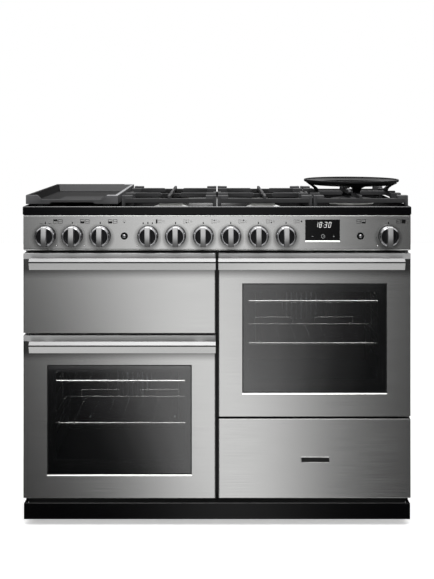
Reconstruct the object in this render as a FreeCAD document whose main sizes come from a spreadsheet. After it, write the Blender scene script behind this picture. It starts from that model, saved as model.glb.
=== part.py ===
import FreeCAD, Part
import math
import os

import Sketcher

# A dual fuel range cooker, 1100 mm wide, standing on the floor.
# X runs to the right as seen from the front, Y to the back, Z up.
# The origin is on the floor, in the middle of the cooker's width and depth.

SIZES = {
    # Whole cooker
    "overall_width": 1100,
    "overall_depth": 648,
    "hob_height": 905,
    "case_steel": 1.5,
    "cut_overrun": 2,
    "seat_clearance": 0.3,
    "pin_clearance": 0.3,
    # Rows of the front, from the top down
    "hob_trim_height": 23,
    "panel_height": 103,
    "door_gap": 7,
    "grill_door_height": 226,
    "left_door_height": 460,
    "right_door_height": 462,
    "plinth_gap": 15,
    "plinth_height": 46,
    "centre_gap": 7.6,
    "door_side_gap": 1,
    # Doors
    "handle_reach": 40,
    "door_thickness": 36,
    "door_skin": 1.2,
    "liner_skin": 1.2,
    "seal_space": 10,
    "window_border": 67.6,
    "window_height": 311,
    "window_sill": 66,
    "window_overlap": 10,
    "glass_thickness": 4,
    "inner_window_border": 87.6,
    "inner_window_height": 250,
    "hinge_pin_radius": 4,
    "hinge_pin_inset": 16,
    "hinge_pin_depth": 22,
    "hinge_pin_length": 12,
    "hinge_plate_thickness": 2.5,
    "hinge_plate_width": 24,
    "hinge_block_height": 18,
    "hinge_block_width": 20,
    "grill_pin_depth": 8,
    "grill_pin_height": 5,
    "grill_lug_width": 6,
    "grill_lug_height": 9,
    "grill_lug_inset": 40,
    "grill_pin_length": 10,
    "grill_pin_radius": 3,
    "grill_block_reach": 6,
    "lug_clearance": 1,
    "corner_radius": 3,
    # Handles
    "handle_end_gap": 23.2,
    "handle_height": 32,
    "handle_drop": 10,
    "handle_thickness": 14,
    "handle_chamfer": 9,
    "handle_groove": 3,
    "handle_groove_depth": 2,
    "bracket_width": 24,
    "bracket_inset": 34,
    "bracket_height": 16,
    # Ovens and grill
    "mouth_border": 57.6,
    "left_mouth_height": 340,
    "right_mouth_height": 370,
    "grill_mouth_height": 170,
    "oven_depth": 400,
    "enamel_steel": 1.5,
    "mouth_flange": 20,
    "mouth_sill": 50,
    "grill_sill": 30,
    "seal_width": 8,
    "seal_inset": 6,
    "frame_depth": 12,
    "baffle_width": 300,
    "baffle_height": 260,
    "baffle_stand": 36,
    "baffle_slot_width": 6,
    "baffle_slot_height": 90,
    "baffle_slot_pitch": 16,
    "fan_radius": 62,
    "fan_depth": 22,
    "fan_hub_radius": 14,
    "fan_blade": 1.5,
    "fan_shaft_radius": 4,
    "fan_wall_gap": 6,
    "shaft_hole_radius": 6,
    "motor_radius": 32,
    "motor_length": 46,
    "ring_radius": 88,
    "ring_wall_gap": 18,
    "element_radius": 3.5,
    "element_tail_radius": 2.5,
    # Shelves
    "shelf_side_gap": 5.5,
    "shelf_depth": 265,
    "shelf_wire": 3.5,
    "shelf_bar_wire": 2,
    "shelf_bar_pitch": 46.4,
    "shelf_loop_width": 120,
    "shelf_loop_height": 22,
    "shelf_loop_place": 95,
    "shelf_set_back": 13,
    "ladder_wire": 2.5,
    "ladder_inset": 20,
    "ladder_stand": 4,
    "ladder_rung_pitch": 61,
    "lower_shelf_height": 143,
    "lamp_radius": 17,
    "lamp_stand": 6,
    "lamp_holder_length": 40,
    "lamp_drop": 85,
    "lamp_set_back": 313,
    # Grill
    "grill_pan_side_gap": 13,
    "grill_pan_depth": 330,
    "grill_pan_height": 32,
    "grill_pan_steel": 1,
    "grill_pan_level": 66,
    "grill_pan_set_back": 20,
    "grill_runner_width": 18,
    "grill_runner_thickness": 1.5,
    "trivet_wire": 2.5,
    "trivet_weld": 1.5,
    "grill_element_pitch": 46,
    "grill_bend_radius": 4.2,
    "grill_element_drop": 16,
    "grill_element_run": 250,
    "grill_element_set_back": 60,
    # Storage drawer
    "drawer_wall": 1.2,
    "drawer_side_gap": 37.6,
    "drawer_clearance": 5,
    "drawer_box_depth": 440,
    "drawer_box_height": 150,
    "drawer_box_lift": 34,
    "rail_height": 34,
    "middle_rail_height": 27,
    "inner_rail_height": 20,
    "rail_lift": 30,
    "rail_slack": 0.5,
    "rail_length": 430,
    "rail_bar": 4,
    # Control panel and knobs
    "panel_steel": 1.5,
    "panel_bend": 6,
    "control_frame_edge": 8,
    "control_frame_side": 18,
    "knob_level": 42,
    "knob_radius": 29.5,
    "knob_depth": 15,
    "knob_rim": 3,
    "knob_rim_foot": 4.5,
    "knob_recess": 9,
    "grip_width": 15,
    "grip_reach": 14,
    "knob_stand": 5,
    "knob_push": 4,
    "spindle_radius": 4,
    "spindle_hole_radius": 6,
    "button_radius": 7,
    "button_dome": 2,
    "button_stand": 5,
    "button_travel": 3,
    "button_ring_radius": 9.5,
    "button_ring_depth": 1.5,
    "button_stem_radius": 3,
    "button_stem_length": 20,
    "button_switch_width": 24,
    "display_width": 98,
    "display_height": 59,
    "display_level": 59,
    "display_glass": 2.5,
    "switch_width": 44,
    "switch_depth": 34,
    "switch_spindle_length": 26,
    "tap_radius": 16,
    "tap_length": 44,
    "tap_plug_radius": 9,
    "tap_plug_length": 30,
    "tap_plug_socket": 16,
    "tap_set_back": 18,
    "gas_pipe_radius": 8,
    "gas_pipe_set_back": 6,
    "gas_pipe_sink": 2,
    "gas_foot_width": 14,
    "gas_inlet_inset": 80,
    "gas_inlet_radius": 9.3,
    "gas_inlet_bore": 6,
    "gas_inlet_length": 15,
    "gas_socket_radius": 14,
    "gas_socket_length": 24,
    "feed_pipe_radius": 3.5,
    "feed_pipe_out": 6,
    "feed_pipe_row": 20,
    "feed_pipe_step": 7.2,
    "cable_inset": 170,
    "cable_level": 560,
    "cable_hole_radius": 11,
    "cable_gland_radius": 15,
    "cable_gland_length": 22,
    "terminal_width": 90,
    "terminal_height": 60,
    "terminal_depth": 34,
    # Hob
    "hob_overhang": 2,
    "hob_steel": 1.5,
    "hob_rim": 4,
    "hob_edge_radius": 2.5,
    "hob_vent_pitch": 14,
    "hob_well": 12,
    "cell_side_gap": 3,
    "cell_front": 15,
    "cell_depth": 432,
    "cell_clearance": 2,
    "burner_hole_radius": 44,
    "burner_flange": 6,
    "burner_height": 13,
    "burner_head_step": 5,
    "burner_cap_thickness": 6,
    "burner_cap_edge": 2,
    "small_burner_radius": 24,
    "middle_burner_radius": 34,
    "large_burner_radius": 46,
    "wok_burner_radius": 62,
    "wok_cap_groove_radius": 31,
    "wok_cap_groove_width": 7.5,
    "wok_hole_radius": 58,
    "burner_cup_depth": 30,
    "ceramic_thickness": 4,
    "ceramic_border": 30,
    "ceramic_step": 8,
    "ceramic_coil_depth": 26,
    "coil_radius": 80,
    # Pan supports
    "support_top": 30,
    "support_bar_top": 21,
    "support_bar_height": 13,
    "support_bar_width": 10,
    "finger_width": 8,
    "finger_eye": 26,
    "finger_slope": 26,
    "finger_tip_slope": 5,
    "finger_root_drop": 9,
    "support_nub": 18,
    # Griddle
    "griddle_depth": 510,
    "griddle_top": 31,
    "griddle_height": 22,
    "griddle_floor_lift": 5,
    "griddle_side_gap": 8.5,
    "griddle_plate": 7,
    "griddle_rim_width": 9,
    "griddle_lip_drop": 7,
    "griddle_lip_inset": 42,
    "griddle_lip_slope": 24,
    "griddle_foot_inset": 12,
    "griddle_foot_radius": 7,
    # Wok cradle
    "wok_ring_radius": 144,
    "wok_ring_foot_radius": 121,
    "wok_ring_height": 13,
    "wok_ring_wall": 8,
    "wok_ring_lift": 23,
    "wok_leg_foot": 14,
    "wok_leg_lean": 26,
    "wok_leg_width": 22,
    # Base, plinth, feet and rollers
    "side_panel_lift": 40,
    "base_drop": 9,
    "base_steel": 2,
    "base_flange": 26,
    "plinth_set_back": 2,
    "plinth_steel": 1.5,
    "foot_pad_radius": 20,
    "foot_pad_height": 10,
    "foot_screw_radius": 5,
    "foot_travel": 25,
    "foot_side_inset": 70,
    "foot_front_inset": 90,
    "foot_nut_radius": 10,
    "foot_nut_height": 12,
    "roller_radius": 24,
    "roller_width": 22,
    "roller_axle_radius": 5,
    "roller_rear_inset": 60,
    "fork_steel": 3,
    "fork_half_width": 16,
    "fork_side_inset": 110,
    "fork_gap": 2,
    "vent_slot_width": 5,
    "vent_slot_length": 60,
    "vent_slot_pitch": 14,
    "bracket_slot_width": 60,
    "bracket_slot_height": 8,
    "bracket_slot_level": 120,
}

# How many there are of what repeats
VENT_SLOT_COUNT = 24
HOB_VENT_COUNT = 30
HOB_CELL_COUNT = 4
BAFFLE_SLOT_COUNT = 15
FAN_BLADE_COUNT = 12
SHELF_BAR_COUNT = 9
LADDER_RUNG_COUNT = 4
TRIVET_WIRE_COUNT = 13
GRILL_ELEMENT_RUNS = 7

# Shares of the depth at which things lie, counted from the front
TRIVET_CROSS_SHARES = (0.25, 0.75)
COIL_DEPTH_SHARES = (0.27, 0.73)
FRONT_BURNER_SHARE = 0.26
REAR_BURNER_SHARE = 0.74
WOK_DEPTH_SHARE = 0.45

# Shares of half the width at which the controls stand, counted from the middle
END_KNOB_SHARE = 0.8836
SECOND_KNOB_SHARE = 0.7447
THIRD_KNOB_SHARE = 0.6013
HOB_KNOB_SHARE = 0.0709
HOB_KNOB_STEP_SHARE = 0.1424
LAMP_BUTTON_SHARE = 0.4775
RIGHT_BUTTON_SHARE = 0.738
DISPLAY_SHARE = 0.5436

SMALL = 1e-6
DOC = FreeCAD.newDocument("RangeCooker")
SHEET = DOC.addObject("Spreadsheet::Sheet", "Sizes")
NODES = {}


class Length:
    """A length in millimetres that remembers the sheet's words for it."""

    def __init__(self, value, words):
        self.value = value
        self.words = words

    def __add__(self, other):
        other = as_length(other)
        return Length(self.value + other.value, f"({self.words} + {other.words})")

    def __radd__(self, other):
        return as_length(other) + self

    def __sub__(self, other):
        other = as_length(other)
        return Length(self.value - other.value, f"({self.words} - {other.words})")

    def __rsub__(self, other):
        return as_length(other) - self

    def __mul__(self, factor):
        return Length(self.value * factor, f"({self.words} * {factor})")

    def __rmul__(self, factor):
        return self * factor

    def __truediv__(self, factor):
        return Length(self.value / factor, f"({self.words} / {factor})")

    def __neg__(self):
        return Length(-self.value, f"(-1 * {self.words})")


def as_length(value):
    """Give a plain number the same form as a named length."""
    if isinstance(value, Length):
        return value
    return Length(value, str(value))


class Named:
    """The named sizes, each read as an attribute."""


def fill_sheet():
    """Put each size in the sheet under its own name."""
    named = Named()
    for row, (alias, value) in enumerate(SIZES.items(), 1):
        SHEET.set(f"A{row}", alias)
        SHEET.set(f"B{row}", str(value))
        SHEET.setAlias(f"B{row}", alias)
        setattr(named, alias, Length(value, f"Sizes.{alias}"))
    DOC.recompute()
    return named


size = fill_sheet()


# Ways of making a piece


def bind(thing, **lengths):
    """Tie the named properties of an object to sums of the sheet's sizes."""
    for prop, length in lengths.items():
        thing.setExpression(prop, as_length(length).words)


def move(thing, x=0, y=0, z=0):
    """Tie an object's place to the sheet."""
    for axis, length in zip("xyz", (x, y, z)):
        thing.setExpression(f"Placement.Base.{axis}", as_length(length).words)


def block(name, low, high):
    """A box from its low corner to its high corner."""
    thing = DOC.addObject("Part::Box", name)
    bind(thing, Length=high[0] - low[0], Width=high[1] - low[1], Height=high[2] - low[2])
    move(thing, *low)
    return thing


# Turns that lay an upright shape along an axis; "-Y" points it out of the front
TURNS = {
    "X": FreeCAD.Rotation(FreeCAD.Vector(0, 1, 0), 90),
    "Y": FreeCAD.Rotation(FreeCAD.Vector(1, 0, 0), -90),
    "-Y": FreeCAD.Rotation(FreeCAD.Vector(1, 0, 0), 90),
    "Z": FreeCAD.Rotation(),
}


def rod(name, start, radius, length, axis="Z"):
    """A cylinder from a start point along a row axis."""
    thing = DOC.addObject("Part::Cylinder", name)
    thing.Placement = FreeCAD.Placement(FreeCAD.Vector(), TURNS[axis])
    bind(thing, Radius=radius, Height=length)
    move(thing, *start)
    return thing


def cone(name, start, low_radius, high_radius, length, axis="Z"):
    """A cone from a start point along a row axis."""
    thing = DOC.addObject("Part::Cone", name)
    thing.Placement = FreeCAD.Placement(FreeCAD.Vector(), TURNS[axis])
    bind(thing, Radius1=low_radius, Radius2=high_radius, Height=length)
    move(thing, *start)
    return thing


def ring(name, centre, ring_radius, wire_radius, axis="Z"):
    """A torus about a centre."""
    thing = DOC.addObject("Part::Torus", name)
    thing.Placement = FreeCAD.Placement(FreeCAD.Vector(), TURNS[axis])
    bind(thing, Radius1=ring_radius, Radius2=wire_radius)
    move(thing, *centre)
    return thing


def ball(name, centre, radius):
    """A sphere, used where two rods meet at a bend."""
    thing = DOC.addObject("Part::Sphere", name)
    bind(thing, Radius=radius)
    move(thing, *centre)
    return thing


def joined(name, things):
    """Several shapes fused into one."""
    thing = DOC.addObject("Part::MultiFuse", name)
    thing.Shapes = list(things)
    return thing


def group(name, things):
    """Several separate solids that share one node."""
    thing = DOC.addObject("Part::Compound", name)
    thing.Links = list(things)
    return thing


def less(name, base, tools):
    """A shape with other shapes cut away."""
    tools = list(tools)
    tool = tools[0]
    if len(tools) > 1:
        tool = joined(name + "_tools", tools)
    thing = DOC.addObject("Part::Cut", name)
    thing.Base = base
    thing.Tool = tool
    return thing


def turned_copy(name, thing, centre, axis, degrees):
    """A copy of a shape, turned about a point."""
    copy = DOC.addObject("Part::Compound", name)
    copy.Links = [thing]
    turn = FreeCAD.Rotation(FreeCAD.Vector(*axis), degrees)
    copy.Placement = FreeCAD.Placement(FreeCAD.Vector(), turn)
    middle = [as_length(part) for part in centre]
    matrix = turn.toMatrix()
    rows = ((matrix.A11, matrix.A12, matrix.A13),
            (matrix.A21, matrix.A22, matrix.A23),
            (matrix.A31, matrix.A32, matrix.A33))
    places = []
    for part, row in zip(middle, rows):
        shares = [round(share, 12) for share in row]
        places.append(part - (middle[0] * shares[0] + middle[1] * shares[1] + middle[2] * shares[2]))
    move(copy, *places)
    return copy


def sketch_on(body, name, role, points):
    """A closed outline on one of the body's own planes, each corner tied to the sheet."""
    sketch = body.newObject("Sketcher::SketchObject", name)
    plane = [part for part in body.Origin.OriginFeatures if part.Role == role][0]
    sketch.AttachmentSupport = [(plane, "")]
    sketch.MapMode = "FlatFace"
    corners = [(as_length(across), as_length(up)) for across, up in points]
    count = len(corners)
    for index in range(count):
        here = corners[index]
        there = corners[(index + 1) % count]
        start = FreeCAD.Vector(here[0].value, here[1].value, 0)
        end = FreeCAD.Vector(there[0].value, there[1].value, 0)
        sketch.addGeometry(Part.LineSegment(start, end), False)
    for index in range(count):
        sketch.addConstraint(Sketcher.Constraint("Coincident", index, 2, (index + 1) % count, 1))
    for index, corner in enumerate(corners):
        for kind, length in zip(("DistanceX", "DistanceY"), corner):
            datum = Sketcher.Constraint(kind, -1, 1, index, 1, float(length.value))
            number = sketch.addConstraint(datum)
            sketch.setExpression(f"Constraints[{number}]", length.words)
    return sketch


def padded(name, role, points, length, place, turn=None):
    """An outline pulled out into a solid; the body is then put in its place."""
    body = DOC.addObject("PartDesign::Body", name)
    sketch = sketch_on(body, name + "_outline", role, points)
    pad = body.newObject("PartDesign::Pad", name + "_pad")
    pad.Profile = sketch
    bind(pad, Length=length)
    if turn is not None:
        body.Placement = FreeCAD.Placement(FreeCAD.Vector(), turn)
    move(body, *place)
    sketch.Visibility = False
    return body


def turned(name, points, place, axis="Z"):
    """An outline turned once about its own upright axis."""
    body = DOC.addObject("PartDesign::Body", name)
    sketch = sketch_on(body, name + "_outline", "XZ_Plane", points)
    revolution = body.newObject("PartDesign::Revolution", name + "_turn")
    revolution.Profile = sketch
    revolution.ReferenceAxis = (sketch, ["V_Axis"])
    revolution.Angle = 360
    body.Placement = FreeCAD.Placement(FreeCAD.Vector(), TURNS[axis])
    move(body, *place)
    return body


def rounded_body(body, radius, choose, word="round"):
    """Round the chosen edges of a body's last feature."""
    DOC.recompute()
    tip = body.Tip
    edges = [f"Edge{number}" for number, edge in enumerate(tip.Shape.Edges, 1) if choose(edge)]
    fillet = body.newObject("PartDesign::Fillet", f"{body.Name}_{word}")
    fillet.Base = (tip, edges)
    bind(fillet, Radius=radius)
    return body


def along(edge, axis):
    """True for a straight edge that runs along the given row axis."""
    if len(edge.Vertexes) != 2:
        return False
    start, end = (vertex.Point for vertex in edge.Vertexes)
    run = end - start
    others = [abs(part) for place, part in enumerate((run.x, run.y, run.z)) if place != axis]
    return max(others) < SMALL


def node(name, thing):
    """Name a finished sub-part, which gives its file its name."""
    thing.Label = name
    NODES[name] = thing
    return thing


# Planes that many pieces share

half_width = size.overall_width / 2
back = size.overall_depth / 2
door_face = size.handle_reach - back
door_back = door_face + size.door_thickness
frame_face = door_back + size.seal_space
frame_back = frame_face + size.frame_depth
panel_top = size.hob_height - size.hob_trim_height
panel_bottom = panel_top - size.panel_height
doors_top = panel_bottom - size.door_gap
grill_bottom = doors_top - size.grill_door_height
left_top = grill_bottom - size.door_gap
left_bottom = left_top - size.left_door_height
right_bottom = doors_top - size.right_door_height
drawer_top = right_bottom - size.door_gap
drawer_bottom = left_bottom
plinth_top = left_bottom - size.plinth_gap
plinth_bottom = plinth_top - size.plinth_height
door_outer = half_width - size.door_side_gap
door_inner = size.centre_gap / 2
door_centre = (door_outer + door_inner) / 2
door_half = (door_outer - door_inner) / 2
mouth_half = door_half - size.mouth_border
inside_width = half_width - size.case_steel
base_top = left_bottom - size.base_drop
back_inside = back - size.case_steel
knob_height = panel_bottom + size.knob_level
end_knob_place = half_width * END_KNOB_SHARE
second_knob_place = half_width * SECOND_KNOB_SHARE
third_knob_place = half_width * THIRD_KNOB_SHARE
hob_knob_place = half_width * HOB_KNOB_SHARE
hob_knob_step = half_width * HOB_KNOB_STEP_SHARE
lamp_button_place = half_width * LAMP_BUTTON_SHARE
right_button_place = half_width * RIGHT_BUTTON_SHARE
display_place = half_width * DISPLAY_SHARE
gas_inlet_place = half_width - size.gas_inlet_inset
cable_place = size.cable_inset - half_width
hinge_place = door_outer - size.hinge_pin_inset
hinge_depth = door_face + size.hinge_pin_depth
hinge_bore = size.hinge_pin_radius + size.pin_clearance
grill_pin_depth = door_face + size.grill_pin_depth
grill_pin_height = grill_bottom + size.grill_pin_height
hob_floor = size.hob_height - size.hob_well
foot_place = half_width - size.foot_side_inset
foot_depth = door_face + size.foot_front_inset
roller_depth = back - size.roller_rear_inset
fork_place = half_width - size.fork_side_inset
control_half = inside_width - size.control_frame_side
control_low = panel_bottom + size.control_frame_edge
control_high = panel_top - size.control_frame_edge
oven_back = frame_face + size.oven_depth
fan_back = oven_back - size.fan_wall_gap
baffle_face = oven_back - size.baffle_stand
lamp_depth = frame_face + size.lamp_set_back
ladder_drop = size.ladder_wire + size.shelf_wire
tap_front = door_face + size.tap_set_back
gas_height = knob_height - size.tap_radius - size.gas_pipe_radius + size.gas_pipe_sink
gas_pipe_depth = frame_face + size.gas_pipe_set_back
cell_front = door_face + size.cell_front
cell_back = cell_front + size.cell_depth
cell_width = (size.overall_width - size.cell_side_gap * 2) / HOB_CELL_COUNT
griddle_back = cell_front + size.griddle_depth
support_high = size.hob_height + size.support_top
bar_high = size.hob_height + size.support_bar_top
bar_low = bar_high - size.support_bar_height
support_foot = hob_floor + size.seat_clearance


def spread(centre, half):
    """The two places that lie half a width to each side of a centre."""
    return centre - half, centre + half


def sided(side, near, far):
    """Two places across the cooker in rising order, on its left (-1) or its right (1)."""
    if side < 0:
        return -far, -near
    return near, far


# Mouths of the four compartments: centre across, low and high edge


def mouth(side, bottom, sill, height):
    """Where a compartment opens: its left, right, low and high edges."""
    low = bottom + sill
    left, right = spread(door_centre * side, mouth_half)
    return left, right, low, low + height


LEFT_MOUTH = mouth(-1, left_bottom, size.mouth_sill, size.left_mouth_height)
RIGHT_MOUTH = mouth(1, right_bottom, size.mouth_sill, size.right_mouth_height)
GRILL_MOUTH = mouth(-1, grill_bottom, size.grill_sill, size.grill_mouth_height)

drawer_half = door_half - size.drawer_side_gap
rail_step = size.rail_bar + size.rail_slack
drawer_left, drawer_right = spread(door_centre, drawer_half)
drawer_floor = drawer_bottom + size.drawer_box_lift
drawer_rim = drawer_floor + size.drawer_box_height
rail_low = drawer_floor + size.rail_lift
rail_high = rail_low + size.rail_height


# Case


def make_side_panels():
    """The two plain side panels."""
    sides = []
    for side, word in ((-1, "left"), (1, "right")):
        left, right = sided(side, inside_width, half_width)
        low = (left, frame_face, size.side_panel_lift)
        sides.append(block(f"{word}_side_panel", low, (right, back, panel_top)))
    return sides


def back_vents(start):
    """The row of vent slots near the top of the back panel."""
    cuts = []
    vent_top = panel_top - size.vent_slot_length
    first = -size.vent_slot_pitch * ((VENT_SLOT_COUNT - 1) / 2)
    for index in range(VENT_SLOT_COUNT):
        left, right = spread(first + size.vent_slot_pitch * index, size.vent_slot_width / 2)
        low = (left, start, vent_top - size.vent_slot_length)
        cuts.append(block(f"vent_slot_{index}", low, (right, back + size.cut_overrun, vent_top)))
    return cuts


def make_back_panel():
    """The back panel, with its vents, gas and cable holes and the slot for a stability bracket."""
    sheet = block("back_sheet", (-inside_width, back_inside, size.side_panel_lift),
                  (inside_width, back, panel_top))
    through = size.case_steel + size.cut_overrun * 2
    start = back_inside - size.cut_overrun
    gas = rod("gas_hole", (gas_inlet_place, start, gas_height), size.gas_socket_radius, through, "Y")
    cable = rod("cable_hole", (cable_place, start, size.cable_level),
                size.cable_gland_radius, through, "Y")
    left, right = spread(as_length(0), size.bracket_slot_width / 2)
    slot = block("bracket_slot", (left, start, size.bracket_slot_level),
                 (right, back + size.cut_overrun, size.bracket_slot_level + size.bracket_slot_height))
    return less("back_panel", sheet, back_vents(start) + [gas, cable, slot])


def make_case_panels():
    """The panels that close the cooker's sides and back."""
    node("case_panels", group("case_panels", make_side_panels() + [make_back_panel()]))


def base_pieces():
    """The floor tray's sheet and flanges, its foot nuts and the roller forks."""
    floor_low = base_top - size.base_steel
    flange_low = base_top - size.base_flange
    pieces = [block("base_floor", (-inside_width, frame_face, floor_low),
                    (inside_width, back_inside, base_top))]
    for side, word in ((-1, "left"), (1, "right")):
        left, right = sided(side, inside_width - size.base_steel, inside_width)
        pieces.append(block(f"base_{word}_flange", (left, frame_face, flange_low),
                            (right, back_inside, base_top)))
        nut = (foot_place * side, foot_depth, floor_low - size.foot_nut_height)
        pieces.append(rod(f"base_{word}_nut", nut, size.foot_nut_radius,
                          size.foot_nut_height + size.base_steel))
        left, right = sided(side, fork_place, fork_place + size.fork_steel)
        low = (left, roller_depth - size.fork_half_width, size.roller_radius - size.fork_half_width)
        high = (right, roller_depth + size.fork_half_width, base_top)
        pieces.append(block(f"base_{word}_fork", low, high))
    low = (-inside_width, back_inside - size.base_steel, flange_low)
    pieces.append(block("base_back_flange", low, (inside_width, back_inside, base_top)))
    return pieces


def base_holes():
    """The foot threads and the eyes for the rollers' axle."""
    cuts = []
    low = base_top - size.base_flange - size.foot_nut_height - size.cut_overrun
    for side, word in ((-1, "left"), (1, "right")):
        cuts.append(rod(f"base_{word}_thread", (foot_place * side, foot_depth, low),
                        size.foot_screw_radius + size.pin_clearance, base_top + size.cut_overrun - low))
        left, right = sided(side, fork_place - size.cut_overrun,
                            fork_place + size.fork_steel + size.cut_overrun)
        cuts.append(rod(f"base_{word}_fork_eye", (left, roller_depth, size.roller_radius),
                        size.roller_axle_radius + size.pin_clearance, right - left, "X"))
    return cuts


def make_base_frame():
    """The floor tray that the case stands on, and the drawer rails fixed to it."""
    tray = less("base_tray", joined("base_whole", base_pieces()), base_holes())
    node("base_frame", group("base_frame", [tray] + make_outer_rails()))


def make_outer_rails():
    """The fixed members of the drawer's rails, which stand on the base tray."""
    rails = []
    end = frame_back + size.rail_length
    near = rail_step * 2
    far = near + size.rail_bar
    for word, left, right in (("left", drawer_left - far, drawer_left - near),
                              ("right", drawer_right + near, drawer_right + far)):
        rails.append(block(f"drawer_{word}_outer_rail", (left, frame_back, base_top), (right, end, rail_high)))
    return rails


def hinge_side(side, top, bottom, word, pieces):
    """The plates and pins that a side hung door turns on."""
    half = size.hinge_plate_width / 2
    left, right = spread(hinge_place * side, half)
    front = hinge_depth - half / 2
    space = (size.door_gap - size.hinge_plate_thickness) / 2
    for end, edge, way in (("top", top, 1), ("foot", bottom, -1)):
        if way > 0:
            low = edge + space
            pin_start = low - size.hinge_pin_length
        else:
            low = edge - space - size.hinge_plate_thickness
            pin_start = low + size.hinge_plate_thickness
        high = low + size.hinge_plate_thickness
        pieces.append(block(f"{word}_{end}_hinge_plate", (left, front, low), (right, frame_back, high)))
        pieces.append(rod(f"{word}_{end}_hinge_pin", (hinge_place * side, hinge_depth, pin_start),
                          size.hinge_pin_radius, size.hinge_pin_length))


def grill_lug_places():
    """Where the two lugs of the drop down grill door stand, with the way their pins point."""
    left = size.grill_lug_inset - door_outer
    right = -door_inner - size.grill_lug_inset - size.grill_lug_width
    return (("left", left, 1), ("right", right, -1))


def frame_openings():
    """The holes in the front frame for the compartments, the drawer and the controls."""
    cuts = []
    front = frame_face - size.cut_overrun
    rear = frame_back + size.cut_overrun
    steel = size.enamel_steel
    for word, edges in (("left", LEFT_MOUTH), ("right", RIGHT_MOUTH), ("grill", GRILL_MOUTH)):
        left, right, low, high = edges
        cuts.append(block(f"{word}_frame_mouth", (left - steel, front, low - steel),
                          (right + steel, rear, high + steel)))
    reach = rail_step * 2 + size.rail_slack
    cuts.append(block("drawer_frame_mouth",
                      (drawer_left - reach, front, drawer_floor - size.drawer_clearance),
                      (drawer_right + reach, rear, drawer_rim + size.drawer_clearance)))
    cuts.append(block("control_mouth", (-control_half, front, control_low), (control_half, rear, control_high)))
    return cuts


def grill_lugs():
    """The two lugs with their pins that the grill door turns on."""
    pieces = []
    half = size.grill_lug_height / 2
    for word, left, way in grill_lug_places():
        low = (left, grill_pin_depth - half, grill_pin_height - half)
        high = (left + size.grill_lug_width, frame_back, grill_pin_height + half)
        pieces.append(block(f"grill_{word}_lug", low, high))
        start = left + size.grill_lug_width
        if way < 0:
            start = left - size.grill_pin_length
        pieces.append(rod(f"grill_{word}_pin", (start, grill_pin_depth, grill_pin_height),
                          size.grill_pin_radius, size.grill_pin_length, "X"))
    return pieces


def make_front_frame():
    """The folded frame behind the doors, with the hinge pins riveted to it."""
    plate = block("front_sheet", (-inside_width, frame_face, base_top), (inside_width, frame_back, panel_top))
    pieces = [less("front_sheet_open", plate, frame_openings())]
    hinge_side(-1, left_top, left_bottom, "left", pieces)
    hinge_side(1, doors_top, right_bottom, "right", pieces)
    node("front_frame", joined("front_frame", pieces + grill_lugs()))


def make_plinth():
    """The strip along the floor, with returns that fasten inside the base tray."""
    front = door_face + size.plinth_set_back
    side = inside_width - size.door_side_gap
    pieces = [block("plinth_front", (-side, front, plinth_bottom), (side, front + size.plinth_steel, plinth_top))]
    inner = inside_width - size.base_steel
    for way, word in ((-1, "left"), (1, "right")):
        left, right = sided(way, inner - size.plinth_steel, inner)
        pieces.append(block(f"plinth_{word}_return", (left, front, plinth_bottom),
                            (right, frame_back, plinth_top)))
    node("plinth", joined("plinth", pieces))


# Ovens and grill


def make_liner(word, edges, depth, extras=(), cuts=()):
    """A pressed and enamelled compartment, open at the front, with a flange round its mouth."""
    left, right, low, high = edges
    steel = size.enamel_steel
    flange = size.mouth_flange
    shell = block(f"{word}_shell", (left - steel, frame_face, low - steel),
                  (right + steel, frame_face + depth + steel, high + steel))
    lip = block(f"{word}_lip", (left - flange, frame_face - steel, low - flange),
                (right + flange, frame_face, high + flange))
    hollow = block(f"{word}_hollow", (left, frame_face - steel - size.cut_overrun, low),
                   (right, frame_face + depth, high))
    body = less(f"{word}_pressing", joined(f"{word}_blank", [shell, lip]), [hollow] + list(cuts))
    if extras:
        body = joined(f"{word}_with_fittings", [body] + list(extras))
    return body


def fan_centre(side, edges):
    """The middle of an oven's fan, across and up."""
    return door_centre * side, (edges[2] + edges[3]) / 2


def make_baffle(word, side, edges):
    """The slotted cover over the fan, folded back to the rear wall."""
    across, up = fan_centre(side, edges)
    left, right = spread(across, size.baffle_width / 2)
    low, high = spread(up, size.baffle_height / 2)
    steel = size.enamel_steel
    whole = block(f"{word}_baffle_block", (left, baffle_face, low), (right, oven_back, high))
    inside = block(f"{word}_baffle_inside", (left + steel, baffle_face + steel, low + steel),
                   (right - steel, oven_back + size.cut_overrun, high - steel))
    cuts = [inside]
    first = across - size.baffle_slot_pitch * ((BAFFLE_SLOT_COUNT - 1) / 2)
    slot_low, slot_high = spread(up, size.baffle_slot_height / 2)
    for index in range(BAFFLE_SLOT_COUNT):
        middle = first + size.baffle_slot_pitch * index
        slot_left, slot_right = spread(middle, size.baffle_slot_width / 2)
        cuts.append(block(f"{word}_baffle_slot_{index}",
                          (slot_left, baffle_face - size.cut_overrun, slot_low),
                          (slot_right, baffle_face + steel + size.cut_overrun, slot_high)))
    return less(f"{word}_baffle", whole, cuts)


def make_oven_liner(word, side, edges):
    """An oven compartment with holes for its fan shaft and its lamp, and its fan baffle."""
    across, up = fan_centre(side, edges)
    shaft = rod(f"{word}_shaft_hole", (across, oven_back - size.cut_overrun, up),
                size.shaft_hole_radius, size.enamel_steel + size.cut_overrun * 2, "Y")
    wall, beyond = lamp_span(side, edges)
    lamp = rod(f"{word}_lamp_hole", (wall - size.cut_overrun, lamp_depth, lamp_height(edges)),
               size.lamp_radius, beyond - wall + size.cut_overrun * 2, "X")
    pressing = make_liner(f"{word}_oven", edges, size.oven_depth, cuts=(shaft, lamp))
    node(f"{word}_oven_liner", group(f"{word}_oven_liner", [pressing, make_baffle(word, side, edges)]))


def lamp_span(side, edges):
    """The two faces of the outer side wall that an oven lamp goes through."""
    if side < 0:
        return edges[0] - size.enamel_steel, edges[0]
    return edges[1], edges[1] + size.enamel_steel


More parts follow.
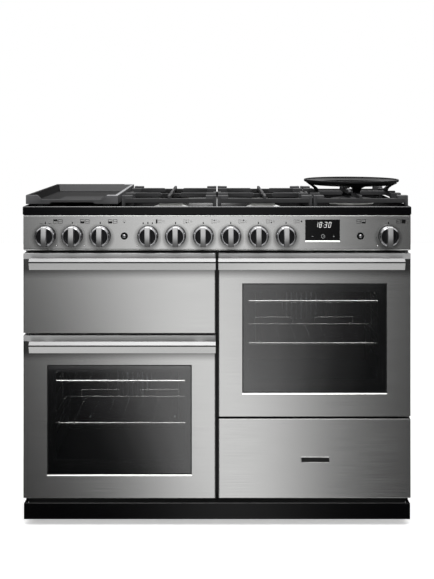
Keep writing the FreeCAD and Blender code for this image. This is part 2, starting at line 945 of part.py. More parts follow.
def lamp_height(edges):
    """Oven lamps sit below the lower shelf."""
    return edges[2] + size.lower_shelf_height - size.lamp_drop


def make_grill_liner():
    """The grill compartment, with a runner for the pan along each side."""
    left, right, low, high = GRILL_MOUTH
    top = low + size.grill_pan_level
    runners = []
    for word, start, end in (("left", left, left + size.grill_runner_width),
                             ("right", right - size.grill_runner_width, right)):
        runners.append(block(f"grill_{word}_runner", (start, frame_face, top - size.grill_runner_thickness),
                             (end, frame_face + size.oven_depth, top)))
    node("grill_liner", make_liner("grill", GRILL_MOUTH, size.oven_depth, extras=runners))


def make_grill_pan():
    """The shallow pan under the grill, resting on the runners."""
    left, right, low, high = GRILL_MOUTH
    across = (left + right) / 2
    pan_left, pan_right = spread(across, mouth_half - size.grill_pan_side_gap)
    floor = low + size.grill_pan_level
    front = frame_face + size.grill_pan_set_back
    steel = size.grill_pan_steel
    whole = block("grill_pan_block", (pan_left, front, floor),
                  (pan_right, front + size.grill_pan_depth, floor + size.grill_pan_height))
    inside = block("grill_pan_inside", (pan_left + steel, front + steel, floor + steel),
                   (pan_right - steel, front + size.grill_pan_depth - steel,
                    floor + size.grill_pan_height + size.cut_overrun))
    node("grill_pan", less("grill_pan", whole, [inside]))


def make_trivet():
    """The wire grid that lies in the grill pan."""
    left, right, low, high = GRILL_MOUTH
    across = (left + right) / 2
    wire = size.trivet_wire
    edge = size.grill_pan_steel + wire + size.seat_clearance
    pan_left, pan_right = spread(across, mouth_half - size.grill_pan_side_gap - edge)
    front = frame_face + size.grill_pan_set_back + edge
    length = size.grill_pan_depth - edge * 2
    level = low + size.grill_pan_level + size.grill_pan_steel + wire
    lifted = level + wire * 2 - size.trivet_weld
    pieces = []
    for index, share in enumerate(TRIVET_CROSS_SHARES):
        start = (pan_left, front + length * share, level)
        pieces.append(rod(f"trivet_cross_{index}", start, wire, pan_right - pan_left, "X"))
    step = (pan_right - pan_left - wire * 4) / (TRIVET_WIRE_COUNT - 1)
    for index in range(TRIVET_WIRE_COUNT):
        place = pan_left + wire * 2 + step * index
        pieces.append(rod(f"trivet_wire_{index}", (place, front, lifted), wire, length, "Y"))
    return joined("trivet", pieces)


def shelf_frame(word, left, right, front, level):
    """The thick wire round the edge of a shelf."""
    wire = size.shelf_wire
    rear = front + size.shelf_depth
    pieces = []
    for end, depth in (("front", front), ("rear", rear)):
        pieces.append(rod(f"{word}_{end}", (left, depth, level), wire, right - left, "X"))
    for end, place in (("left", left), ("right", right)):
        pieces.append(rod(f"{word}_{end}", (place, front, level), wire, size.shelf_depth, "Y"))
        for corner, depth in (("front", front), ("rear", rear)):
            pieces.append(ball(f"{word}_{end}_{corner}", (place, depth, level), wire))
    return pieces


def shelf_loop(word, middle, rear, level):
    """An upright loop at the back of a shelf, which stops a dish."""
    thin = size.shelf_bar_wire
    low_side, high_side = spread(middle, size.shelf_loop_width / 2)
    top = level + size.shelf_loop_height
    pieces = []
    for end, place in (("low", low_side), ("high", high_side)):
        pieces.append(rod(f"{word}_{end}", (place, rear, level), thin, size.shelf_loop_height))
        pieces.append(ball(f"{word}_{end}_bend", (place, rear, top), thin))
    pieces.append(rod(f"{word}_top", (low_side, rear, top), thin, high_side - low_side, "X"))
    return pieces


def make_shelf(word, side, edges, height):
    """A wire oven shelf: frame, thin bars from front to back, and two loops."""
    wire = size.shelf_wire
    across = door_centre * side
    left, right = spread(across, mouth_half - size.shelf_side_gap - wire)
    front = frame_face + size.shelf_set_back
    level = edges[2] + height
    pieces = shelf_frame(word, left, right, front, level)
    for index in range(SHELF_BAR_COUNT):
        place = across + size.shelf_bar_pitch * (index - (SHELF_BAR_COUNT - 1) / 2)
        pieces.append(rod(f"{word}_bar_{index}", (place, front, level + wire), size.shelf_bar_wire,
                          size.shelf_depth, "Y"))
    for spot, way in (("left", -1), ("right", 1)):
        middle = across + size.shelf_loop_place * way
        pieces.extend(shelf_loop(f"{word}_{spot}_loop", middle, front + size.shelf_depth, level))
    return joined(word, pieces)


def make_ladder(word, wall, way, edges):
    """The wire ladder on an oven wall that the shelves slide into."""
    wire = size.ladder_wire
    front = frame_face + size.shelf_set_back + size.ladder_inset
    length = size.shelf_depth - size.ladder_inset * 2
    upright = wall + wire * way
    rung = wall + (wire + size.ladder_stand) * way
    first = edges[2] + size.lower_shelf_height - ladder_drop - size.ladder_rung_pitch
    tall = size.ladder_rung_pitch * (LADDER_RUNG_COUNT - 1)
    pieces = []
    for end, depth in (("front", front), ("rear", front + length)):
        pieces.append(rod(f"{word}_{end}", (upright, depth, first), wire, tall))
        for spot, level in (("foot", first), ("top", first + tall)):
            pieces.append(ball(f"{word}_{end}_{spot}", (upright, depth, level), wire))
    for index in range(LADDER_RUNG_COUNT):
        level = first + size.ladder_rung_pitch * index
        start = front - size.ladder_inset
        pieces.append(rod(f"{word}_rung_{index}", (rung, start, level), wire, size.shelf_depth, "Y"))
    return joined(word, pieces)


def make_wire_shelves():
    """Two shelves and two ladders in each oven, and the trivet of the grill."""
    things = []
    for word, side, edges in (("left", -1, LEFT_MOUTH), ("right", 1, RIGHT_MOUTH)):
        for level, height in (("lower", size.lower_shelf_height),
                              ("upper", size.lower_shelf_height + size.ladder_rung_pitch * 2)):
            things.append(make_shelf(f"{word}_{level}_shelf", side, edges, height))
        things.append(make_ladder(f"{word}_oven_left_ladder", edges[0], 1, edges))
        things.append(make_ladder(f"{word}_oven_right_ladder", edges[1], -1, edges))
    things.append(make_trivet())
    node("wire_shelves", group("wire_shelves", things))


RING_TAIL_ANGLE = math.radians(13)
TAIL_SIDE_SHARE = math.sin(RING_TAIL_ANGLE)
TAIL_DROP_SHARE = math.cos(RING_TAIL_ANGLE)


def ring_element(word, side, edges):
    """The ring round a fan, with two tails that go to the rear wall."""
    wire = size.element_radius
    across, up = fan_centre(side, edges)
    depth = oven_back - size.ring_wall_gap
    pieces = [ring(f"{word}_ring", (across, depth, up), size.ring_radius, wire, "Y")]
    for spot, way in (("left", -1), ("right", 1)):
        place = across + size.ring_radius * TAIL_SIDE_SHARE * way
        drop = up - size.ring_radius * TAIL_DROP_SHARE
        pieces.append(rod(f"{word}_{spot}_tail", (place, depth, drop), size.element_tail_radius,
                          size.ring_wall_gap, "Y"))
    return joined(f"{word}_ring_element", pieces)


def grill_element():
    """One long element that runs to and fro under the grill's roof, on two hangers."""
    left, right, low, high = GRILL_MOUTH
    wire = size.element_radius
    bend = size.grill_bend_radius
    level = high - size.grill_element_drop
    front = frame_face + size.grill_element_set_back
    run = size.grill_element_run
    first = (left + right) / 2 - size.grill_element_pitch * ((GRILL_ELEMENT_RUNS - 1) / 2)
    pieces = []
    for index in range(GRILL_ELEMENT_RUNS):
        place = first + size.grill_element_pitch * index
        pieces.append(rod(f"grill_run_{index}", (place, front, level), wire, run, "Y"))
        pieces.append(ball(f"grill_front_bend_{index}", (place, front, level), bend))
        pieces.append(ball(f"grill_rear_bend_{index}", (place, front + run, level), bend))
        if index < GRILL_ELEMENT_RUNS - 1:
            depth = front + run * (index % 2)
            pieces.append(rod(f"grill_link_{index}", (place, depth, level), wire,
                              size.grill_element_pitch, "X"))
    for index in (0, GRILL_ELEMENT_RUNS - 1):
        place = first + size.grill_element_pitch * index
        pieces.append(rod(f"grill_hanger_{index}", (place, front + run / 2, level), size.element_tail_radius,
                          size.grill_element_drop))
    return joined("grill_element", pieces)


def hotplate_coils():
    """The two round heaters under the glass hotplate."""
    coils = []
    for index, share in enumerate(COIL_DEPTH_SHARES):
        depth = cell_front + size.griddle_depth * share
        start = (cell_middle(0), depth, hob_floor - size.ceramic_coil_depth)
        coils.append(rod(f"hotplate_coil_{index}", start, size.coil_radius, size.ceramic_coil_depth))
    return coils


def make_heating_elements():
    """Everything electric that heats."""
    things = [ring_element("left", -1, LEFT_MOUTH), ring_element("right", 1, RIGHT_MOUTH), grill_element()]
    node("heating_elements", group("heating_elements", things + hotplate_coils()))


def make_door_seals():
    """The rope seal round each mouth that the doors press on."""
    things = []
    for word, edges in (("left", LEFT_MOUTH), ("right", RIGHT_MOUTH), ("grill", GRILL_MOUTH)):
        left, right, low, high = edges
        inner = size.seal_inset
        outer = inner + size.seal_width
        front = door_back + size.seat_clearance
        rear = frame_face - size.enamel_steel
        whole = block(f"{word}_seal_block", (left - outer, front, low - outer),
                      (right + outer, rear, high + outer))
        hollow = block(f"{word}_seal_hollow", (left - inner, front - size.cut_overrun, low - inner),
                       (right + inner, rear + size.cut_overrun, high + inner))
        things.append(less(f"{word}_seal", whole, [hollow]))
    node("door_seals", group("door_seals", things))


# Doors


def make_handle(word, side, top):
    """A straight bar with a sloping top edge, on two brackets."""
    length = door_half * 2 - size.handle_end_gap
    left, right = sided(side, door_inner, door_inner + length)
    high = top - size.handle_drop
    low = high - size.handle_height
    flat = size.handle_height - size.handle_chamfer
    groove = flat - size.handle_groove
    thick = size.handle_thickness
    outline = [
        (0, 0),
        (thick, 0),
        (thick, size.handle_height),
        (size.handle_chamfer, size.handle_height),
        (0, flat),
        (size.handle_groove_depth, flat),
        (size.handle_groove_depth, groove),
        (0, groove),
    ]
    bar = padded(f"{word}_handle_bar", "YZ_Plane", outline, length, (left, -back, low))
    middle = (low + high) / 2
    bracket_low, bracket_high = spread(middle, size.bracket_height / 2)
    pieces = [bar]
    for end, start in (("inner", left + size.bracket_inset),
                       ("outer", right - size.bracket_inset - size.bracket_width)):
        pieces.append(block(f"{word}_{end}_bracket", (start, thick - back, bracket_low),
                            (start + size.bracket_width, door_face, bracket_high)))
    node(f"{word}_handle", joined(f"{word}_handle", pieces))


def window_edges(side, bottom):
    """The left, right, low and high edges of a door's window."""
    left, right = spread(door_centre * side, door_half - size.window_border)
    low = bottom + size.window_sill
    return left, right, low, low + size.window_height


def make_skin(name, left, right, bottom, top, cuts=()):
    """A folded steel tray, open at the back, with its upright edges rounded."""
    outline = [(0, 0), (right - left, 0), (right - left, size.door_thickness), (0, size.door_thickness)]
    body = padded(name + "_sheet", "XY_Plane", outline, top - bottom, (left, door_face, bottom))
    rounded_body(body, size.corner_radius, front_upright)
    skin = size.door_skin
    hollow = block(name + "_hollow", (left + skin, door_face + skin, bottom + skin),
                   (right - skin, door_back + size.cut_overrun, top - skin))
    return less(name, body, [hollow] + list(cuts))


def front_upright(edge):
    """True for an upright edge on a door's front."""
    return along(edge, 2) and abs(edge.Vertexes[0].Point.y) < SMALL


def window_cut(name, edges, front, rear):
    """A block that cuts a window from one plane to another."""
    return block(name, (edges[0], front - size.cut_overrun, edges[2]),
                 (edges[1], rear + size.cut_overrun, edges[3]))


def inner_window(side, bottom):
    """The smaller window in a door's liner."""
    edges = window_edges(side, bottom)
    left, right = spread((edges[0] + edges[1]) / 2, door_half - size.inner_window_border)
    low, high = spread((edges[2] + edges[3]) / 2, size.inner_window_height / 2)
    return left, right, low, high


def make_oven_door_skin(word, side, bottom, top):
    """The outside of an oven door, with its window and two holes for the hinge pins."""
    left, right = sided(side, door_inner, door_outer)
    skin = size.door_skin
    cuts = [window_cut(f"{word}_skin_window", window_edges(side, bottom), door_face, door_face + skin)]
    for end, level in (("foot", bottom), ("top", top - skin)):
        start = (hinge_place * side, hinge_depth, level - size.cut_overrun)
        cuts.append(rod(f"{word}_skin_{end}_hole", start, hinge_bore, skin + size.cut_overrun * 2))
    node(f"{word}_door_skin", make_skin(f"{word}_door_skin", left, right, bottom, top, cuts))


def make_oven_door_glass(word, side, bottom):
    """The outer and the inner pane."""
    lap = size.window_overlap
    glass = size.glass_thickness
    left, right, low, high = window_edges(side, bottom)
    front = door_face + size.door_skin
    outer = block(f"{word}_outer_pane", (left - lap, front, low - lap), (right + lap, front + glass, high + lap))
    left, right, low, high = inner_window(side, bottom)
    rear = door_back - size.liner_skin
    inner = block(f"{word}_inner_pane", (left - lap, rear - glass, low - lap), (right + lap, rear, high + lap))
    node(f"{word}_door_glass", group(f"{word}_door_glass", [outer, inner]))


def make_oven_door_liner(word, side, bottom, top):
    """The inside of an oven door, with two blocks that are bored for the hinge pins."""
    left, right = sided(side, door_inner, door_outer)
    skin = size.door_skin
    plate = door_back - size.liner_skin
    tall = size.hinge_block_height
    sheet = block(f"{word}_liner_sheet", (left + skin, plate, bottom + skin),
                  (right - skin, door_back, top - skin))
    opening = window_cut(f"{word}_liner_window", inner_window(side, bottom), plate, door_back)
    pieces = [less(f"{word}_liner_open", sheet, [opening])]
    bores = []
    across = hinge_place * side
    near, far = spread(across, size.hinge_block_width / 2)
    for end, level in (("foot", bottom + skin), ("top", top - skin - tall)):
        pieces.append(block(f"{word}_{end}_hinge_block", (near, hinge_depth - size.hinge_block_width / 2, level),
                            (far, plate, level + tall)))
        start = (across, hinge_depth, level - size.cut_overrun)
        bores.append(rod(f"{word}_{end}_bore", start, hinge_bore, tall + size.cut_overrun * 2))
    node(f"{word}_door_liner", less(f"{word}_door_liner", joined(f"{word}_liner_whole", pieces), bores))


def make_oven_door(word, side, bottom, top):
    """A door that hangs on upright pins: skin, panes, liner and handle."""
    make_oven_door_skin(word, side, bottom, top)
    make_oven_door_glass(word, side, bottom)
    make_oven_door_liner(word, side, bottom, top)
    make_handle(word + "_door", side, top)


def grill_notches(word, front):
    """Gaps at the foot of the grill door that clear the two lugs."""
    slack = size.lug_clearance
    top = grill_pin_height + size.grill_lug_height / 2 + slack
    cuts = []
    for spot, start, way in grill_lug_places():
        cuts.append(block(f"{word}_{spot}_notch", (start - slack, front, grill_bottom - size.cut_overrun),
                          (start + size.grill_lug_width + slack, door_back + size.cut_overrun, top)))
    return cuts


def make_grill_door_skin():
    """The outside of the drop down door."""
    left, right = sided(-1, door_inner, door_outer)
    cuts = grill_notches("grill_skin", door_face + size.door_skin + size.lug_clearance)
    node("grill_door_skin", make_skin("grill_door_skin", left, right, grill_bottom, doors_top, cuts))


def make_grill_door_liner():
    """The inside of the drop down door, with two blocks bored for its pins."""
    left, right = sided(-1, door_inner, door_outer)
    skin = size.door_skin
    slack = size.lug_clearance
    plate = door_back - size.liner_skin
    front = door_face + skin
    low = grill_bottom + skin
    pieces = [block("grill_liner_sheet", (left + skin, plate, low), (right - skin, door_back, doors_top - skin))]
    pieces.append(block("grill_liner_fold", (left + skin, front, low),
                        (right - skin, plate, low + size.liner_skin)))
    cuts = grill_notches("grill_liner", front)
    high = grill_pin_height + size.grill_lug_height / 2 + slack
    for word, start, way in grill_lug_places():
        edge = start + size.grill_lug_width + slack
        if way < 0:
            edge = start - slack - size.grill_pin_length
        pieces.append(block(f"grill_{word}_pin_block", (edge, front, low),
                            (edge + size.grill_pin_length, grill_pin_depth + size.grill_block_reach, high)))
        cuts.append(rod(f"grill_{word}_pin_bore", (edge - size.cut_overrun, grill_pin_depth, grill_pin_height),
                        size.grill_pin_radius + size.pin_clearance,
                        size.grill_pin_length + size.cut_overrun * 2, "X"))
    node("grill_door_liner", less("grill_door_liner", joined("grill_liner_whole", pieces), cuts))


def make_grill_door():
    """The drop down door: skin, liner and handle."""
    make_grill_door_skin()
    make_grill_door_liner()
    make_handle("grill_door", -1, doors_top)


# Storage drawer


def make_drawer_box():
    """The box behind the drawer's front, with the moving members of its rails."""
    left, right = sided(1, door_inner, door_outer)
    skin = size.door_skin
    wall = size.drawer_wall
    rear = door_back + size.drawer_box_depth
    whole = block("drawer_box_block", (drawer_left, door_back, drawer_floor), (drawer_right, rear, drawer_rim))
    inside = block("drawer_box_inside", (drawer_left + wall, door_back, drawer_floor + wall),
                   (drawer_right - wall, rear - wall, drawer_rim + size.cut_overrun))
    pieces = [less("drawer_tray", whole, [inside])]
    pieces.append(block("drawer_stiffener", (left + skin, door_back - skin, drawer_bottom + skin),
                        (right - skin, door_back, drawer_top - skin)))
    low, high = spread((rail_low + rail_high) / 2, size.inner_rail_height / 2)
    for word, start in (("left", drawer_left - size.rail_bar), ("right", drawer_right)):
        pieces.append(block(f"drawer_{word}_inner_rail", (start, door_back, low),
                            (start + size.rail_bar, rear, high)))
    node("drawer_box", joined("drawer_box", pieces))


def make_drawer_rail_middles():
    """The middle members of the rails, which travel half as far as the drawer."""
    middles = []
    low, high = spread((rail_low + rail_high) / 2, size.middle_rail_height / 2)
    for word, start in (("left", drawer_left - rail_step - size.rail_bar), ("right", drawer_right + rail_step)):
        middles.append(block(f"drawer_{word}_middle_rail", (start, frame_back, low),
                             (start + size.rail_bar, frame_back + size.rail_length, high)))
    node("drawer_rail_middles", group("drawer_rail_middles", middles))


def make_drawer():
    """The storage drawer: plain front, box and sliding rails."""
    left, right = sided(1, door_inner, door_outer)
    node("drawer_front", make_skin("drawer_front", left, right, drawer_bottom, drawer_top))
    make_drawer_box()
    make_drawer_rail_middles()


# Control panel, knobs and what they turn

KNOBS = [
    # name, what it turns, place across
    ("knob_grill", "switch", -end_knob_place),
    ("knob_left_oven_function", "switch", -second_knob_place),
    ("knob_left_oven_heat", "switch", -third_knob_place),
    ("knob_hotplate", "switch", -hob_knob_place - hob_knob_step * 2),
    ("knob_burner_1", "tap", -hob_knob_place - hob_knob_step),
    ("knob_burner_2", "tap", -hob_knob_place),
    ("knob_burner_3", "tap", hob_knob_place),
    ("knob_burner_4", "tap", hob_knob_place + hob_knob_step),
    ("knob_wok_burner", "tap", hob_knob_place + hob_knob_step * 2),
    ("knob_right_oven", "switch", end_knob_place),
]
BUTTONS = [
    ("button_oven_light", -lamp_button_place),
    ("button_ignition", right_button_place),
]


def make_control_panel():
    """The bent steel panel, with holes for spindles, buttons and the clock."""
    depth = frame_face - door_face
    steel = size.panel_steel
    outline = [
        (0, 0),
        (depth, 0),
        (depth, steel),
        (steel, steel),
        (steel, size.panel_height - steel),
        (depth, size.panel_height - steel),
        (depth, size.panel_height),
        (0, size.panel_height),
    ]
    body = padded("panel_bend", "YZ_Plane", outline, inside_width * 2, (-inside_width, door_face, panel_bottom))
    rounded_body(body, size.panel_bend - steel, inner_bend, "inside")
    rounded_body(body, size.panel_bend, front_long, "outside")
    start = door_face - size.cut_overrun
    through = steel + size.cut_overrun * 2
    cuts = []
    for name, kind, across in KNOBS:
        cuts.append(rod(f"panel_{name}_hole", (across, start, knob_height), size.spindle_hole_radius,
                        through, "Y"))
    for name, across in BUTTONS:
        cuts.append(rod(f"panel_{name}_hole", (across, start, knob_height), size.button_ring_radius,
                        through, "Y"))
    left, right = spread(display_place, size.display_width / 2)
    low, high = spread(panel_bottom + size.display_level, size.display_height / 2)
    cuts.append(block("panel_display_hole", (left, start, low),
                      (right, door_face + steel + size.cut_overrun, high)))
    node("control_panel", less("control_panel", body, cuts))


def bend_at(edge, depth):
    """True for a long straight edge at a depth behind the panel's face."""
    return along(edge, 0) and abs(edge.Vertexes[0].Point.y - depth) < SMALL


def front_long(edge):
    """True for the outsides of the panel's two bends."""
    return bend_at(edge, 0)


def inner_bend(edge):
    """True for the insides of the panel's two bends."""
    return bend_at(edge, size.panel_steel.value)


def make_clock_display():
    """Black glass flush with the panel, and the clock's case behind it."""
    left, right = spread(display_place, size.display_width / 2)
    low, high = spread(panel_bottom + size.display_level, size.display_height / 2)
    glass = block("clock_glass", (left, door_face, low), (right, door_face + size.display_glass, high))
    case = block("clock_case", (left, door_face + size.display_glass, low),
                 (right, door_face + size.display_glass + size.switch_depth, high))
    node("clock_display", joined("clock_display", [glass, case]))


def knob_outline():
    """Half of a knob's section: a dished face inside a raised rim, seen from its axis."""
    radius = size.knob_radius
    rim = size.knob_rim
    depth = size.knob_depth
    return [
        (0, 0),
        (radius - rim / 2, 0),
        (radius, rim / 2),
        (radius, depth - rim),
        (radius - rim / 2, depth),
        (radius - rim, depth),
        (radius - size.knob_rim_foot, depth - size.knob_recess),
        (0, depth - size.knob_recess),
    ]


def make_knob(name, kind, across):
    """A round knob with a bar grip across its dished face, on its own spindle."""
    face = door_face - size.knob_stand
    base = turned(f"{name}_base", knob_outline(), (across, face, knob_height), "-Y")
    left, right = spread(across, size.grip_width / 2)
    low, high = spread(knob_height, size.knob_radius - size.knob_rim)
    front = face - size.knob_depth - size.grip_reach
    grip = block(f"{name}_grip", (left, front, low), (right, face - size.knob_depth + size.knob_recess, high))
    reach = size.switch_spindle_length
    if kind == "tap":
        reach = tap_front + size.tap_plug_socket - size.knob_push - size.seat_clearance - face
    spindle = rod(f"{name}_spindle", (across, face, knob_height), size.spindle_radius, reach, "Y")
    node(name, joined(name, [base, grip, spindle]))


def make_tap_plugs():
    """The tapered plug that a gas knob turns, with the socket for the knob's spindle."""
    number = 0
    for name, kind, across in KNOBS:
        if kind != "tap":
            continue
        number += 1
        whole = rod(f"plug_{number}_block", (across, tap_front, knob_height), size.tap_plug_radius,
                    size.tap_plug_length, "Y")
        socket = rod(f"plug_{number}_socket", (across, tap_front - size.cut_overrun, knob_height),
                     size.spindle_radius + size.pin_clearance,
                     size.tap_plug_socket + size.cut_overrun, "Y")
        node(f"tap_plug_{number}", less(f"tap_plug_{number}", whole, [socket]))


def make_buttons():
    """Two domed push buttons on their stems."""
    outline = [
        (0, 0),
        (size.button_radius, 0),
        (size.button_radius, size.button_stand),
        (size.button_radius - size.button_dome, size.button_stand + size.button_dome / 2),
        (0, size.button_stand + size.button_dome),
    ]
    for name, across in BUTTONS:
        cap = turned(f"{name}_cap", outline, (across, door_face, knob_height), "-Y")
        stem = rod(f"{name}_stem", (across, door_face, knob_height), size.button_stem_radius,
                   size.button_stem_length, "Y")
        node(name, joined(name, [cap, stem]))


def rotary_switch(name, across):
    """The switch behind a knob, bored for the knob's spindle."""
    rear = door_face + size.panel_steel
    left, right = spread(across, size.switch_width / 2)
    low, high = spread(knob_height, size.switch_width / 2)
    whole = block(f"{name}_switch_block", (left, rear, low), (right, rear + size.switch_depth, high))
    bore = rod(f"{name}_switch_bore", (across, rear - size.cut_overrun, knob_height),
               size.spindle_radius + size.pin_clearance, size.switch_depth, "Y")
    return less(f"{name}_switch", whole, [bore])


def push_switch(name, across):
    """The switch behind a button, with the collar that shows round the button."""
    rear = door_face + size.panel_steel
    front = door_face - size.button_ring_depth
    collar = rod(f"{name}_collar", (across, front, knob_height), size.button_ring_radius, rear - front, "Y")
    left, right = spread(across, size.button_switch_width / 2)
    low, high = spread(knob_height, size.button_switch_width / 2)
    case = block(f"{name}_switch_case", (left, rear, low), (right, rear + size.switch_depth, high))
    travel = size.button_travel + size.seat_clearance
    well = rod(f"{name}_well", (across, front - size.cut_overrun, knob_height),
               size.button_radius + size.pin_clearance, door_face + travel - front + size.cut_overrun, "Y")
    bore = rod(f"{name}_stem_bore", (across, front, knob_height), size.button_stem_radius + size.pin_clearance,
               door_face + size.button_stem_length + travel - front, "Y")
    return less(f"{name}_switch", joined(f"{name}_switch_whole", [collar, case]), [well, bore])


def oven_lamp(word, side, edges):
    """A lamp in its holder, through the outer side wall of an oven."""
    wall, beyond = lamp_span(side, edges)
    start = wall - size.lamp_stand
    if side < 0:
        start = wall - size.lamp_holder_length
    length = size.lamp_stand + size.lamp_holder_length + size.enamel_steel
    return rod(f"{word}_lamp", (start, lamp_depth, lamp_height(edges)), size.lamp_radius, length, "X")


def fan_motor(word, side, edges):
    """The motor behind an oven, bored for the fan's shaft."""
    across, up = fan_centre(side, edges)
    behind = oven_back + size.enamel_steel
    case = rod(f"{word}_motor_case", (across, behind, up), size.motor_radius, size.motor_length, "Y")
    bore = rod(f"{word}_motor_bore", (across, behind - size.cut_overrun, up),
               size.fan_shaft_radius + size.pin_clearance, size.motor_length, "Y")
    return less(f"{word}_motor", case, [bore])


def terminal_box():
    """The box that takes the mains cable, with a gland through the back panel."""
    left, right = spread(cable_place, size.terminal_width / 2)
    low, high = spread(size.cable_level, size.terminal_height / 2)
    case = block("terminal_case", (left, back_inside - size.terminal_depth, low), (right, back_inside, high))
    start = (cable_place, back_inside - size.cable_gland_length, size.cable_level)
    length = size.cable_gland_length + size.case_steel
    gland = rod("cable_gland", start, size.cable_gland_radius, length, "Y")
    bore = rod("cable_bore", start, size.cable_hole_radius, length + size.cut_overrun, "Y")
    return less("terminal_box", joined("terminal_whole", [case, gland]), [bore])


def make_electrical_fittings():
    """Rotary switches, push switches, oven lamps, fan motors and the mains terminal box."""
    things = [rotary_switch(name, across) for name, kind, across in KNOBS if kind == "switch"]
    for name, across in BUTTONS:
        things.append(push_switch(name, across))
    for word, side, edges in (("left", -1, LEFT_MOUTH), ("right", 1, RIGHT_MOUTH)):
        things.append(oven_lamp(word, side, edges))
        things.append(fan_motor(word, side, edges))
    things.append(terminal_box())
    node("electrical_fittings", group("electrical_fittings", things))


def make_fan(word, side, edges):
    """A fan: a disc with blades, on the shaft that goes into its motor."""
    across, up = fan_centre(side, edges)
    depth = size.fan_depth
    pieces = [rod(f"{word}_fan_disc", (across, fan_back - size.fan_blade, up), size.fan_radius,
                  size.fan_blade, "Y")]
    pieces.append(rod(f"{word}_fan_hub", (across, fan_back - depth, up), size.fan_hub_radius, depth, "Y"))
    reach = size.fan_wall_gap + size.enamel_steel + size.motor_length / 2
    pieces.append(rod(f"{word}_fan_shaft", (across, fan_back, up), size.fan_shaft_radius, reach, "Y"))
    for index in range(FAN_BLADE_COUNT):
        low, high = spread(up, size.fan_blade / 2)
        blade = block(f"{word}_blade_{index}", (across + size.fan_hub_radius / 2, fan_back - depth, low),
                      (across + size.fan_radius, fan_back, high))
        turn = 360 / FAN_BLADE_COUNT * index
        pieces.append(turned_copy(f"{word}_blade_{index}_turned", blade, (across, 0, up), (0, 1, 0), turn))
    node(f"{word}_fan", joined(f"{word}_fan", pieces))


# Gas


def gas_rail(taps):
    """The rail along the front with its taps, and the run back to the inlet socket."""
    pipe = size.gas_pipe_radius
    start = taps[0][1] - size.tap_radius - pipe
    corner = (gas_inlet_place, gas_pipe_depth, gas_height)
    union = back - size.gas_socket_length
    pieces = [rod("gas_rail", (start, gas_pipe_depth, gas_height), pipe, gas_inlet_place - start, "X")]
    pieces.append(ball("gas_bend", corner, pipe))
    pieces.append(rod("gas_run", corner, pipe, union - gas_pipe_depth, "Y"))
    pieces.append(rod("gas_socket", (gas_inlet_place, union, gas_height), size.gas_socket_radius,
                      size.gas_socket_length, "Y"))
    for index, place in enumerate((start + size.gas_foot_width, gas_inlet_place - pipe)):
        left, right = spread(place, size.gas_foot_width / 2)
        pieces.append(block(f"gas_foot_{index}", (left, frame_face, control_low), (right, frame_back, gas_height)))
    cuts = [rod("gas_inlet", (gas_inlet_place, back - size.gas_inlet_length, gas_height),
                size.gas_inlet_radius, size.gas_inlet_length + size.cut_overrun, "Y")]
    cuts.append(rod("gas_inlet_bore", corner, size.gas_inlet_bore, back - gas_pipe_depth, "Y"))
    for name, across in taps:
        pieces.append(rod(f"{name}_tap", (across, tap_front, knob_height), size.tap_radius,
                          size.tap_length, "Y"))
        cuts.append(rod(f"{name}_tap_bore", (across, tap_front - size.cut_overrun, knob_height),
                        size.tap_plug_radius + size.pin_clearance,
                        size.tap_plug_length + size.seat_clearance + size.cut_overrun, "Y"))
    return less("gas_rail_whole", joined("gas_rail_pieces", pieces), cuts)


def feed_pipe(index, across, burner):
    """A pipe from a tap to a burner: out, up, back, across, back and up, with a bend at each corner."""
    name, cell, share, radius, hole, rank = burner
    feed = size.feed_pipe_radius
    middle = cell_middle(cell)
    depth = cell_front + size.cell_depth * share
    level = knob_height + size.feed_pipe_step * (rank + 1)
    tap_back = tap_front + size.tap_length
    out = tap_back + size.feed_pipe_out
    row = tap_back + size.feed_pipe_row
    low, high = (across, middle) if across.value < middle.value else (middle, across)
    runs = [
        rod(f"feed_{index}_out", (across, tap_back, knob_height), feed, size.feed_pipe_out, "Y"),
        rod(f"feed_{index}_rise", (across, out, knob_height), feed, level - knob_height),
        rod(f"feed_{index}_stub", (across, out, level), feed, row - out, "Y"),
        rod(f"feed_{index}_across", (low, row, level), feed, high - low, "X"),
        rod(f"feed_{index}_back", (middle, row, level), feed, depth - row, "Y"),
        rod(f"feed_{index}_up", (middle, depth, level), feed, hob_floor - size.burner_cup_depth - level),
    ]
    corners = [(across, out, knob_height), (across, out, level), (across, row, level),
               (middle, row, level), (middle, depth, level)]
    for number, corner in enumerate(corners):
        runs.append(ball(f"feed_{index}_bend_{number}", corner, feed))
    return joined(f"feed_{index}", runs)


def make_gas_pipework():
    """The rail with its taps and inlet, and one feed pipe to each burner."""
    taps = [(name, across) for name, kind, across in KNOBS if kind == "tap"]
    things = [gas_rail(taps)]
    for index, ((name, across), burner) in enumerate(zip(taps, BURNERS)):
        things.append(feed_pipe(index, across, burner))
    node("gas_pipework", group("gas_pipework", things))


# Hob


def cell_start(index):
    """The left edge of one of the hob's four equal cells."""
    return cell_width * (index - HOB_CELL_COUNT / 2)


def cell_middle(index):
    """The middle of one of the hob's cells, across."""
    return cell_start(index) + cell_width / 2


BURNERS = [
    # name, cell, share of the cell's depth, radius, hole radius, rank of the feed pipe's level
    ("front_left_burner", 1, FRONT_BURNER_SHARE, size.middle_burner_radius, size.burner_hole_radius, 3),
    ("rear_left_burner", 1, REAR_BURNER_SHARE, size.large_burner_radius, size.burner_hole_radius, 0),
    ("rear_middle_burner", 2, REAR_BURNER_SHARE, size.small_burner_radius, size.burner_hole_radius, 1),
    ("front_middle_burner", 2, FRONT_BURNER_SHARE, size.middle_burner_radius, size.burner_hole_radius, 4),
    ("wok_burner", 3, WOK_DEPTH_SHARE, size.wok_burner_radius, size.wok_hole_radius, 2),
]


